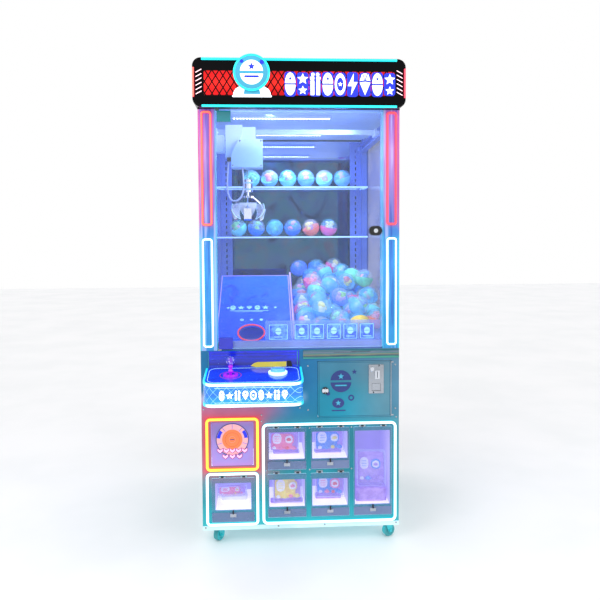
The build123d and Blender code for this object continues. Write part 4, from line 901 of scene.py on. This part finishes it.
TOPF = Matrix(((1, 0, 0, 0), (0, math.cos(TILT), -math.sin(TILT), F * MM), (0, math.sin(TILT), math.cos(TILT), DESK_REAR * MM), (0, 0, 0, 1)))
inner = rrect(-386, -14, -181, -9, 34, 8)
inner2 = rrect(-384, -16, -179, -11, 32, 8)
piece("desk_line", [inner, inner2], 0.1, 0.8, MAT_EDGE, frame_m=TOPF)
piece("stick_halo", [circle(STICK[0], -96, 45, 48), circle(STICK[0], -96, 42, 48)], 0.1, 0.8, MAT_MAGENTA,
      frame_m=TOPF)

piece("upstand_edges", [rrect(-392.5, -389.5, 779, 849, 1.2), rrect(-16.5, -13.5, 779, 849, 1.2)], UY + 0.1, UY + 2.2, MAT_CLAMP_TEAL,
      bevel=0.0008)
piece("upstand_rules", [rrect(-380, -20, 838, 840, 0.8), rrect(-380, -20, 826, 827.5, 0.6), rrect(-380, -20, 812, 813, 0.4)], UY + 0.1, UY + 0.8, MAT_NAVY,
      bevel=0.0002)
piece("ledge_holes", [circle(146 + 7.5 * k, 838, 1.7, 12) for k in range(13)] + [rrect(216, 300, 839, 840.4, 0.5)], -(F - 5.0) + 0.05, -(F - 5.0) + 0.3, MAT_BLACK,
      bevel=0.00008)

collar = lathe([(0, 735 - 4), (5, 735 - 4), (5, 772), (6.2, 774), (6.2, 778), (9.5, 781), (10.4, 785), (8.2, 789), (6.6, 793), (6.4, 797),
                (8.8, 799.5), (9.6, 803), (8.6, 806), (6.4, 808.5), (5.0, 811), (0, 811)])
bm = bmesh.new()
bmesh.ops.create_icosphere(bm, subdivisions=2, radius=0.0190)
ball = bpy.data.meshes.new("ball")
bm.to_mesh(ball)
bm.free()
pin = lathe([(0, -15), (2, -15), (2, 15), (0, 15)], 16)
core = lathe([(0, 812), (4.2, 812), (7.5, 818), (8.5, 826), (7.0, 834), (0, 838)], 24)
me = gather("stick_piece", [(collar, at(STICK[0], STICK[1], 0), 0), (core, at(STICK[0], STICK[1], 0), 0),
                            (pin, at(STICK[0], STICK[1], 735, (math.pi / 2, 0, 0)), 2)])
stick = sharp(add("stick_piece", me, [MAT_VIOLET, MAT_BALL, MAT_STEEL], "stick"), 50)
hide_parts("joystick_stick")
me = gather("stick_ball", [(ball, at(STICK[0], STICK[1], 826), 0)])
add("stick_ball", me, [MAT_BALL], "stick", smooth=False)
ringme = lathe([(23.0, 790.65), (24.5, 791.5), (26.0, 790.2), (24.5, 789.9), (23.0, 790.65)], 48)

# ---------------------------------------------------------------------------
# coin door emblem, prize flap rings
# ---------------------------------------------------------------------------
CY = -(F - 1.5)
ex, ez = 172.0, 712.0
piece("coin_emblem", [circle(ex, ez + 2.5, 45, 36, 45, 0.05, math.pi - 0.05), circle(ex, ez - 2.5, 45, 36, 45, math.pi + 0.05, math.tau - 0.05),
                      star(ex, ez + 21, 15), rrect(ex - 27, ex + 27, ez - 22, ez - 14, 3.5),
                      circle(ex - 12, 618, 26, 30, 22), star(ex - 12, 618, 14), circle(ex + 44, 640, 13, 24), circle(ex + 44, 640, 7, 24),
                      star(ex + 58, 752, 12), circle(ex - 56, 660, 9, 20), rrect(ex - 40, ex + 20, 583, 588, 2)],
      CY + 0.15, CY + 1.3, MAT_NAVY, body="coin_door", bevel=0.0003)
piece("coin_emblem_light", [star(ex, ez + 21, 13), rrect(ex - 24, ex + 24, ez - 20.5, ez - 15.5, 2.4), star(ex - 12, 618, 12)],
      CY + 0.15, CY + 1.1, MAT_EMBLEM_SKY, body="coin_door", bevel=0.0003)
PY0, PY = -(F + 3.5), -(F + 2.5)
pcx, pcz = -295.0, 468.0
piece("prize_disc", [circle(pcx, pcz, 68, 72)], PY0, PY + 0.5, MAT_PEACH, body="prize_flap")
piece("prize_disc_rim", [circle(pcx, pcz, 70, 72), circle(pcx, pcz, 67, 72)], PY0, PY + 1.4, MAT_NAVY, body="prize_flap")
seg = []
for t_mid, span in ((22, 16), (158, 16)):
    tt = [math.radians(t_mid - span + 2 * span * i / 8) for i in range(9)]
    seg.append([(pcx + 66 * math.cos(t), pcz + 66 * math.sin(t)) for t in tt] + [(pcx + 52 * math.cos(t), pcz + 52 * math.sin(t)) for t in reversed(tt)])
for t in (50, 90, 130, -18, 198):
    c_, s_ = math.cos(math.radians(t)), math.sin(math.radians(t))
    seg.append([(pcx + 46 * c_ - 0.8 * s_, pcz + 46 * s_ + 0.8 * c_), (pcx + 66 * c_ - 0.8 * s_, pcz + 66 * s_ + 0.8 * c_),
                (pcx + 66 * c_ + 0.8 * s_, pcz + 66 * s_ - 0.8 * c_), (pcx + 46 * c_ + 0.8 * s_, pcz + 46 * s_ - 0.8 * c_)])
piece("prize_disc_marks", seg, PY + 0.4, PY + 1.1, MAT_ICONBLUE, body="prize_flap", bevel=0.0002)
piece("prize_ring_orange", [circle(pcx, pcz, 43, 56), circle(pcx, pcz, 14, 32)], PY + 0.4, PY + 2.0, MAT_ORANGE, body="prize_flap",
      bevel=0.0008)
piece("prize_ring_line", [circle(pcx, pcz, 31, 56), circle(pcx, pcz, 29.5, 56)], PY + 1.9, PY + 2.3, MAT_RIM, body="prize_flap",
      bevel=0.0001)
piece("prize_ring_hub", [circle(pcx, pcz, 13, 32)], PY + 0.4, PY + 1.5, MAT_ORANGE, body="prize_flap", bevel=0.0004)
piece("prize_ring_slot", [rrect(pcx - 9, pcx + 9, pcz - 1.8, pcz + 1.8, 1.6)], PY + 1.4, PY + 2.2, MAT_NAVY, body="prize_flap",
      bevel=0.0002)
arrows, plates = [], []
for row_z, xs_ in ((421, (-52, -26, 0, 26, 52)), (396, (-30, 0, 30))):
    for dx in xs_:
        arrows.append([(pcx + dx - 11, row_z + 9), (pcx + dx, row_z + 1), (pcx + dx + 11, row_z + 9), (pcx + dx + 11, row_z - 1),
                       (pcx + dx, row_z - 10), (pcx + dx - 11, row_z - 1)])
        plates.append([(pcx + dx - 12.8, row_z + 11.5), (pcx + dx, row_z + 3.5), (pcx + dx + 12.8, row_z + 11.5), (pcx + dx + 12.8, row_z - 3),
                       (pcx + dx, row_z - 13), (pcx + dx - 12.8, row_z - 3)])
piece("prize_arrow_backs", plates, PY + 0.4, PY + 2.2, MAT_MAGENTA, body="prize_flap", bevel=0.0002)
piece("prize_arrows", arrows, PY + 2.1, PY + 2.9, MAT_PINKICON, body="prize_flap", bevel=0.0002)

# ---------------------------------------------------------------------------
# chute board graphics and card frames
# ---------------------------------------------------------------------------
loops = []
for k, (cx_, s_) in enumerate(((-300, 262), (-262, 262), (-224, 262), (-186, 262), (-148, 262))):
    loops += (capsule_icon(cx_, s_, 13, 17), [star(cx_, s_, 17)], gem_icon(cx_, s_, 26, 28), capsule_icon(cx_, s_, 13, 17), [star(cx_, s_, 17)])[k]
loops += [rrect(-314, -134, 236, 239, 1), rrect(-290, -160, 228, 230, 1)]
for cx_ in (-322, -102):
    loops.append(star(cx_, 262, 9))
loops += [circle(-256, 166, 8, 20), circle(-256, 166, 4, 20), circle(-168, 166, 8, 20), star(-212, 166, 9)]
piece("board_graphics", loops, 0.15, 0.9, MAT_CARDLINE, bevel=0.0002, frame_m=BOARD)
slope = math.hypot(CH_Y1 - CH_Y0, CH_Z1 - CH_Z0)
piece("board_border", [rrect(-365, -31, 4, slope - 3, 4), rrect(-361, -35, 8, slope - 7, 3)], 0.12, 0.9, MAT_LIP,
      bevel=0.0002, frame_m=BOARD)
CDY = -(F + 46.0)
frames = []
for cx_, w in ((-94, 84), (7, 62), (74, 62), (147, 62), (219, 62), (292, 62)):
    frames += [rrect(cx_ - w / 2 + 1.5, cx_ + w / 2 - 1.5, 888.5, 953.5, 4), rrect(cx_ - w / 2 + 4, cx_ + w / 2 - 4, 891, 951, 3)]
    frames += capsule_icon(cx_, 924, 13, 15, starred=False)
    frames.append(rrect(cx_ - 18, cx_ + 18, 898, 901, 1))
piece("card_frames", frames, CDY + 0.1, CDY + 1.0, MAT_CARDLINE, bevel=0.0002)

# ---------------------------------------------------------------------------
# capsules with toys
# ---------------------------------------------------------------------------
SHELF_CAPS = [(-219 + 98.5 * i, B - 108, SHELF_Z[1] + 4.3 + CAP_R) for i in range(6)] + \
             [(-291 + 98.0 * i, B - 108, SHELF_Z[0] + 4.3 + CAP_R) for i in range(6)]
PILE_CAPS = [
    (192, -242, 933), (96, -242, 933), (275, -194, 943),
    (36, -169, 948), (191, -148, 953), (357, -146, 953), (108, -130, 997),
    (283, -127, 1011), (36, -75, 967), (168, -57, 971), (357, -52, 972),
    (94, -45, 1038), (262, -40, 975), (207, 2, 1041), (349, 12, 1043),
    (36, 19, 987), (131, 30, 989), (274, 53, 994), (103, 79, 1066),
    (357, 99, 1003), (192, 102, 1004), (36, 113, 1006), (177, 140, 1090),
    (276, 148, 1013), (118, 162, 1016), (91, 191, 1103), (357, 197, 1023),
    (264, 199, 1098), (357, 200, 1119), (202, 208, 1026), (36, 210, 1026),
    (119, 256, 1035), (187, 279, 1100), (262, 281, 1041), (308, 283, 1124),
    (91, 286, 1122), (357, 291, 1043), (36, 303, 1045), (118, 352, 1055),
    (213, 362, 1057), (163, 364, 1139), (260, 364, 1141), (308, 372, 1059),
    (66, 432, 1071), (162, 442, 1073), (36, 451, 1160),
    (257, 451, 1077), (132, 451, 1164), (227, 451, 1168),
]
CAP_COLOURS = {
    "blue": rgb(44, 130, 244), "sky": rgb(96, 178, 240), "aqua": rgb(110, 208, 226), "deep": rgb(30, 84, 222),
    "mint": rgb(110, 214, 180), "pink": rgb(240, 104, 176), "coral": rgb(250, 128, 110), "sun": rgb(250, 206, 70),
}
CAP_KEYS = list(CAP_COLOURS)


def shell_mat(key, c, alpha):
    g = Mat("shell_" + key + ("_lid" if alpha < 1 else ""), c, 0.12, coat=1.0, coat_rough=0.04, alpha=alpha, glow=c,
            power=0.16 if alpha == 1 else 0.05)
    col = g.mix(g.step(g.noise(24.0, 3.0, 0.6), 0.35, 0.7), c, tuple(min(1.0, v * 1.35 + 0.03) for v in c[:3]) + (1.0,))
    g.put("Base Color", col)
    g.put("Roughness", g.f("MULTIPLY_ADD", g.noise(70.0, 4.0), 0.14, 0.05))
    g.bump(g.noise(180.0, 3.0), 0.05, 0.0004)
    return g.m


BASES = [shell_mat(k, c, 1.0) for k, c in CAP_COLOURS.items()]
LIDS = [shell_mat("ice", rgb(150, 205, 250), 0.34), shell_mat("clear", rgb(205, 232, 252), 0.26), shell_mat("teal", rgb(110, 196, 236), 0.4)]
TOYS = []
for k, c in (("white", rgb(240, 244, 250)), ("leaf", rgb(120, 206, 110)), ("lemon", rgb(246, 222, 90)), ("rose", rgb(246, 130, 170)),
             ("azure", rgb(60, 150, 240)), ("tomato", rgb(236, 84, 70)), ("mintgreen", rgb(120, 220, 190)), ("lilac", rgb(180, 150, 235))):
    g = Mat("toy_" + k, c, 0.42, glow=c, power=0.18)
    g.put("Base Color", g.mix(g.step(g.noise(38.0, 3.0, 0.6), 0.4, 0.66), c, tuple(min(1.0, v * 1.25 + 0.06) for v in c[:3]) + (1.0,)))
    g.bump(g.noise(260.0, 4.0), 0.2, 0.0006)
    g.put("Roughness", g.f("MULTIPLY_ADD", g.noise(50.0), 0.2, 0.32))
    TOYS.append(g.m)


def arc(r, t0, t1, n):
    return [(r * math.cos(math.radians(t0 + (t1 - t0) * i / n)), r * math.sin(math.radians(t0 + (t1 - t0) * i / n))) for i in range(n + 1)]


base_half = lathe([(0, -47.0)] + arc(47.0, -86, -3, 12) + [(47.3, -1.6), (47.3, 1.4), (46.2, 1.6), (45.6, 0.0)] + arc(45.4, -6, -86, 7) + [(0, -45.4)], 30)
lid_half = lathe([(46.4, 1.0)] + arc(46.8, 3, 86, 12) + [(0, 46.8)], 30)


def blob(r, squash, seed, bumps=0.12):
    """rounded toy volume with gentle lumps"""
    rr = random.Random(seed)
    ph = [rr.uniform(0, 6.28) for _ in range(6)]
    bm_ = bmesh.new()
    bmesh.ops.create_icosphere(bm_, subdivisions=3, radius=1.0)
    for v in bm_.verts:
        c_ = v.co.normalized()
        k = 1 + bumps * (math.sin(3.1 * c_.x + ph[0]) * math.cos(2.7 * c_.y + ph[1]) + 0.6 * math.sin(4.3 * c_.z + ph[2]))
        v.co = Vector((c_.x * squash[0], c_.y * squash[1], c_.z * squash[2])) * (k * r * MM)
    me_ = bpy.data.meshes.new("blob")
    bm_.to_mesh(me_)
    bm_.free()
    return me_


BLOBS = [blob(20, (1, 0.9, 0.85), 1), blob(15, (1, 1, 1.1), 2), blob(9, (1, 1, 1), 3), blob(12, (1.3, 0.8, 0.8), 4, 0.2), blob(18, (0.9, 1, 1.1), 5, 0.16)]
shells, lids, toys = [], [], []
row_top = ["aqua", "sky", "aqua", "sky", "aqua", "sky"]
row_low = ["aqua", "blue", "sky", "blue", "coral", "pink"]
weights = ["blue", "blue", "sky", "sky", "aqua", "blue", "deep", "mint", "sky", "blue", "aqua", "pink"]
for i, (cx_, cy_, cz_) in enumerate(SHELF_CAPS + PILE_CAPS):
    if i < 6:
        key = row_top[i]
    elif i < 12:
        key = row_low[i - 6]
    elif (cx_, cy_) in ((275, -194), (357, -146)):
        key = "sun" if cx_ == 275 else "coral"
    else:
        key = rng.choice(weights)
    rot = (rng.uniform(-0.9, 0.9), rng.uniform(-0.9, 0.9), rng.uniform(0, 6.28))
    if i < 12:
        rot = (rng.uniform(0.1, 0.7), rng.uniform(-0.6, 0.6), rng.uniform(-0.5, 0.5))
    m4 = at(cx_, cy_, cz_, rot)
    shells.append((base_half, m4, CAP_KEYS.index(key)))
    lids.append((lid_half, m4, i % 3))
    a_, b_ = rng.sample(range(len(TOYS)), 2)
    k = rng.choice((0, 4))
    toys.append((BLOBS[k], m4 @ at(rng.uniform(-5, 5), rng.uniform(-5, 5), 3), a_))
    toys.append((BLOBS[1], m4 @ at(rng.uniform(-8, 8), rng.uniform(-8, 8), 22), b_))
    for s in (-1, 1):
        toys.append((BLOBS[2], m4 @ at(s * 15, rng.uniform(-6, 6), 24), a_ if i % 2 else b_))
    toys.append((BLOBS[3], m4 @ at(rng.uniform(-10, 10), -18, 6), b_))
sh = sharp(add("capsule_bases", gather("capsule_bases", shells), BASES, "cabinet"), 50)
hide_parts("capsules")
add("capsule_lids", gather("capsule_lids", lids), LIDS, "cabinet")
add("capsule_toys", gather("capsule_toys", toys), TOYS, "cabinet")

# ---------------------------------------------------------------------------
# prizes in the lockers
# ---------------------------------------------------------------------------
MAT_PBOX = clear("prize_box", rgb(206, 214, 250), 0.22, 0.06, 0.12)
MAT_PBOXEDGE = plain("prize_box_edge", rgb(196, 206, 246), 0.2, coat=0.5, vary=0.04, glow=rgb(190, 205, 250), power=0.35)
CUBE = softbox(100, 100, 100, 0.10, 4)
SOFT = softbox(100, 100, 100, 0.42, 4)


def frame_box(w, d, h, t=1.6):
    """wire-like edges of a clear box"""
    parts_ = []
    for sx in (-1, 1):
        for sy in (-1, 1):
            parts_.append((CUBE, Matrix.Diagonal((t / 100, t / 100, h / 100, 1)), sx, sy, 0))
    out = []
    for sx in (-1, 1):
        for sy in (-1, 1):
            out.append((CUBE, Matrix.Translation((sx * w / 2 * MM, sy * d / 2 * MM, 0)) @ Matrix.Diagonal((t / 100, t / 100, h / 100, 1)), 0))
        for sz in (-1, 1):
            out.append((CUBE, Matrix.Translation((sx * w / 2 * MM, 0, sz * h / 2 * MM)) @ Matrix.Diagonal((t / 100, d / 100, t / 100, 1)), 0))
    for sy in (-1, 1):
        for sz in (-1, 1):
            out.append((CUBE, Matrix.Translation((0, sy * d / 2 * MM, sz * h / 2 * MM)) @ Matrix.Diagonal((w / 100, t / 100, t / 100, 1)), 0))
    return out


def scaled(x_, y_, z_, w, d, h, rot=(0, 0, 0)):
    return at(x_, y_, z_, rot) @ Matrix.Diagonal((w / 100, d / 100, h / 100, 1))


boxes, edges, goods = [], [], []
PK = {"white": 0, "leaf": 1, "lemon": 2, "rose": 3, "azure": 4, "tomato": 5, "mintgreen": 6, "lilac": 7}
# (locker, dx, depth, z above window foot, width, height, colours)
SETS = [
    (0, -10, 84, 54, 130, 92, ("rose", "rose", "tomato")), (1, 6, 84, 56, 132, 98, ("azure", "azure", "lemon")),
    (2, 6, 80, 136, 124, 150, ("lilac", "azure", "lilac")), (3, 4, 54, 62, 126, 108, ("lemon", "lemon", "rose")),
    (4, 8, 88, 58, 128, 88, ("azure", "rose", "tomato")), (5, -10, 112, 45, 128, 42, ("rose", "rose", "lemon")),
]
for n_, dx, dy, dz, w, h, cols in SETS:
    cx_, _, _, _, hw, wz0, wz1 = LOCKERS[n_]
    fx, fy, fz = cx_ + dx, F + dy, wz0 + dz
    tilt = (math.radians(-10), 0, math.radians(5 if n_ % 2 else -5))
    m0 = at(fx, fy, fz, tilt)
    boxes.append((CUBE, m0 @ Matrix.Diagonal((w / 100, 0.44, h / 100, 1)), 0))
    edges += [(p_, m0 @ mm, mi) for p_, mm, mi in frame_box(w, 44, h)]
    # backing card, label and round picture in the blister
    goods.append((CUBE, m0 @ at(0, 16, 0) @ Matrix.Diagonal((w * 0.93 / 100, 0.03, h * 0.9 / 100, 1)), PK["lilac"]))
    goods.append((CUBE, m0 @ at(-w * 0.08, 13, -h * 0.02) @ Matrix.Diagonal((w * 0.72 / 100, 0.04, h * 0.74 / 100, 1)), PK[cols[0]]))
    lw, lh = w * 0.27, min(h * 0.44, 44)
    goods.append((SOFT, m0 @ at(-w * 0.24, 6, h * 0.12) @ Matrix.Diagonal((lw * 1.15 / 100, 0.10, lh * 1.15 / 100, 1)), PK["white"]))
    for k_ in range(3):
        goods.append((CUBE, m0 @ at(-w * 0.24, -1, h * 0.12 + (k_ - 1) * lh * 0.25) @ Matrix.Diagonal((lw * 0.62 / 100, 0.02, 0.02, 1)), PK[cols[1]]))
    r_ = min(w * 0.17, h * 0.30) / 20
    goods.append((BLOBS[0], m0 @ at(w * 0.17, 6, h * 0.10) @ Matrix.Diagonal((r_ * 1.12, 0.4, r_ * 1.12, 1)), PK[cols[1]]))
    goods.append((BLOBS[0], m0 @ at(w * 0.17, -1, h * 0.10) @ Matrix.Diagonal((r_ * 0.8, 0.3, r_ * 0.8, 1)), PK["white"]))
    goods.append((BLOBS[2], m0 @ at(w * 0.17, -6, h * 0.10) @ Matrix.Diagonal((r_ * 0.9, 0.5, r_ * 0.8, 1)), PK[cols[2]]))
    for k_, ci in enumerate(("white", cols[1], cols[2], cols[0])):
        goods.append((BLOBS[2 + k_ % 2], m0 @ at((-0.33 + 0.22 * k_) * w, 3, -h * 0.31) @ Matrix.Scale(min(h, 100) / 110, 4), PK[ci]))
    # plinth under the blister
    top = dz - h * 0.5
    goods.append((CUBE, at(cx_, F + dy + 14, wz0 + top / 2 + 1) @ Matrix.Diagonal(((hw * 1.86 if n_ in (2, 3) else w * 0.9) / 100, (1.3 if n_ == 2 else 0.5),
                                                                                (top - 2) / 100, 1)), PK["white" if n_ == 5 else "lilac"]))
add("prize_boxes", gather("prize_boxes", boxes), [MAT_PBOX], "cabinet")
add("prize_box_edges", gather("prize_box_edges", edges), [MAT_PBOXEDGE], "cabinet")
add("prize_goods", gather("prize_goods", goods), TOYS, "cabinet")

for n_, (cx_, w_, z0_, z1_, hw, wz0, wz1) in enumerate(LOCKERS, start=1):
    piece("locker_band_%d" % n_, [rrect(cx_ - w_ / 2 + 1.2, cx_ + w_ / 2 - 1.2, z0_ + 1.2, wz0 - 3.5, 2.0)], -(F - 7.0) + 0.02, -(F - 7.0) + 0.16, MAT_BAND,
          body="locker_%d" % n_, bevel=0.00005)

# ---------------------------------------------------------------------------
# fixings: screws, claw, wire
# ---------------------------------------------------------------------------
screw = lathe([(0, 2.0), (1.6, 2.0), (1.6, 1.2), (1.9, 1.2), (2.0, 2.1), (3.2, 1.7), (3.9, 0.7), (4.0, 0.0), (0, -0.5)], 20)
spots = []
face = (math.pi / 2, 0, 0)
for x_, z_ in ((30, 590), (408, 590), (408, 780), (30, 780), (-415, 600), (-5, 600), (-170, 545), (-170, 572), (412, 552), (-412, 86.5), (412, 86.5),
               (-100, 86.5), (100, 86.5), (36, 330), (217, 330), (-152, 330), (217, 512), (36, 512)):
    spots.append((screw, at(x_, F, z_, face), 0))
side = (0, math.pi / 2, 0)
for s in (-1, 1):
    for y_ in (F + 40, 92.5, B - 40):
        for z_ in (120, 330, 560, 820):
            spots.append((screw, at(s * 425, y_, z_, (0, s * math.pi / 2, 0)), 0))
for x_ in (-400, -130, 130, 400):
    for z_ in (120, 840, 1200, 1520, 1840):
        spots.append((screw, at(x_, B, z_, (-math.pi / 2, 0, 0)), 0))
for x_ in (336, 336, 312, 312):
    spots.append((screw, at(x_, F - 5.8, 778 if x_ == 336 else 662, face), 0))
sharp(add("panel_screws", gather("panel_screws", spots), [MAT_STEEL], "cabinet"), 40)

wire = lathe([(1.2, 0), (1.2, 4), (1.2, 8), (1.2, 12), (1.2, 16), (1.2, 20), (1.2, 24), (1.2, 28), (1.2, 32), (1.2, 36), (1.2, 40.2)], 14)
WZ = 1589.6 + LIFT
me = gather("hoist_line", [(wire, at(CLAW[0], CLAW[1], WZ), 0)])
o = bpy.data.objects.new("hoist_line", me)
scene.collection.objects.link(o)
me.materials.append(MAT_STEEL)
for p in me.polygons:
    p.use_smooth = True
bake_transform(o)
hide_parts("hoist_wire")

# clear scoops over the prong tips, banded claw body, cover screws
band = lathe([(23.2, 1536), (24.6, 1538), (24.6, 1542), (23.2, 1544)], 40)
band2 = lathe([(23.2, 1566), (24.6, 1568), (24.6, 1572), (23.2, 1574)], 40)
foot = lathe([(14, 1499.5), (17, 1501.5), (17, 1504), (14, 1505)], 32)
sharp(add("claw_bands", gather("claw_bands", [(band, at(CLAW[0], CLAW[1], LIFT), 0), (band2, at(CLAW[0], CLAW[1], LIFT), 0)]), [MAT_COVER],
          "claw"), 40)
for n_, a_ in enumerate((-90, 30, 150), start=1):
    bm = bmesh.new()
    grid = []
    rows_, cols_ = 9, 10
    for i in range(rows_ + 1):
        t = i / rows_
        ph = math.radians(72 + 74 * t)
        half = math.radians(30 * (1 - t) ** 0.6 + 5)
        line_ = []
        for j in range(cols_ + 1):
            az = math.radians(a_) - half + 2 * half * j / cols_
            r_ = 74 * math.sin(ph)
            line_.append(bm.verts.new(((CLAW[0] + r_ * math.cos(az)) * MM, (CLAW[1] + r_ * math.sin(az)) * MM,
                                       (1457 + LIFT + 61 * math.cos(ph)) * MM)))
        grid.append(line_)
    for i in range(rows_):
        for j in range(cols_):
            bm.faces.new((grid[i][j], grid[i][j + 1], grid[i + 1][j + 1], grid[i + 1][j]))
    bmesh.ops.recalc_face_normals(bm, faces=bm.faces)
    me = bpy.data.meshes.new("scoop_%d" % n_)
    bm.to_mesh(me)
    bm.free()
    sc_ = add("scoop_%d" % n_, me, [MAT_CLAWCLEAR, MAT_EDGE], "prong_%d" % n_)
    so = sc_.modifiers.new("thick", "SOLIDIFY")
    so.thickness = 0.0022
    so.offset = 1.0
    so.material_offset_rim = 1

spots = []
for x_, z_ in ((-290, 1645), (-163, 1645), (-163, 1756), (-258, 1756)):
    spots.append((screw, at(x_, CLAW[1] - 52, z_ + LIFT, face), 0))
sharp(add("cover_screws", gather("cover_screws", spots), [MAT_STEEL], "trolley"), 40)

# ---------------------------------------------------------------------------
# light and surroundings
# ---------------------------------------------------------------------------
world = bpy.data.worlds.new("world")
world.use_nodes = True
world.node_tree.nodes["Background"].inputs[0].default_value = (1.0, 1.0, 1.0, 1.0)
world.node_tree.nodes["Background"].inputs[1].default_value = 1.0
scene.world = world
scene.view_settings.view_transform = "Standard"


def area(name, loc, look, size, energy, colour=(1, 1, 1), size_y=None):
    li = bpy.data.lights.new(name, "AREA")
    li.energy = energy
    li.color = colour
    li.shape = "RECTANGLE"
    li.size = size
    li.size_y = size_y or size
    o_ = bpy.data.objects.new(name, li)
    scene.collection.objects.link(o_)
    o_.location = loc
    o_.rotation_euler = (Vector(look) - Vector(loc)).to_track_quat("-Z", "Y").to_euler()
    return o_


area("key", (-1.9, -2.6, 2.9), (0, 0, 1.0), 1.6, 30)
area("fill", (2.2, -2.4, 1.6), (0, 0, 0.9), 1.8, 14)
for li_name, li_y, li_to, li_w in (("inner_front", F + 120, F + 200, 5.0), ("inner_rear", F + 640, F + 600, 6.5)):
    li_o = area(li_name, (0.05, li_y * MM, 1.845), (0.0, li_to * MM, 0.9), 0.44, li_w, (0.50, 0.62, 1.0), 0.03)
    li_o.visible_glossy = False

fg = Mat("floor_pale", rgb(246, 247, 249), 0.5)
fg.put("Base Color", fg.mix(fg.step(fg.noise(1.5, 3.0), 0.3, 0.7), rgb(244, 245, 247), rgb(250, 250, 252)))
bm = bmesh.new()
bmesh.ops.create_grid(bm, x_segments=2, y_segments=2, size=14.0)
me = bpy.data.meshes.new("floor")
bm.to_mesh(me)
bm.free()
me.materials.append(fg.m)
floor = bpy.data.objects.new("floor", me)
scene.collection.objects.link(floor)
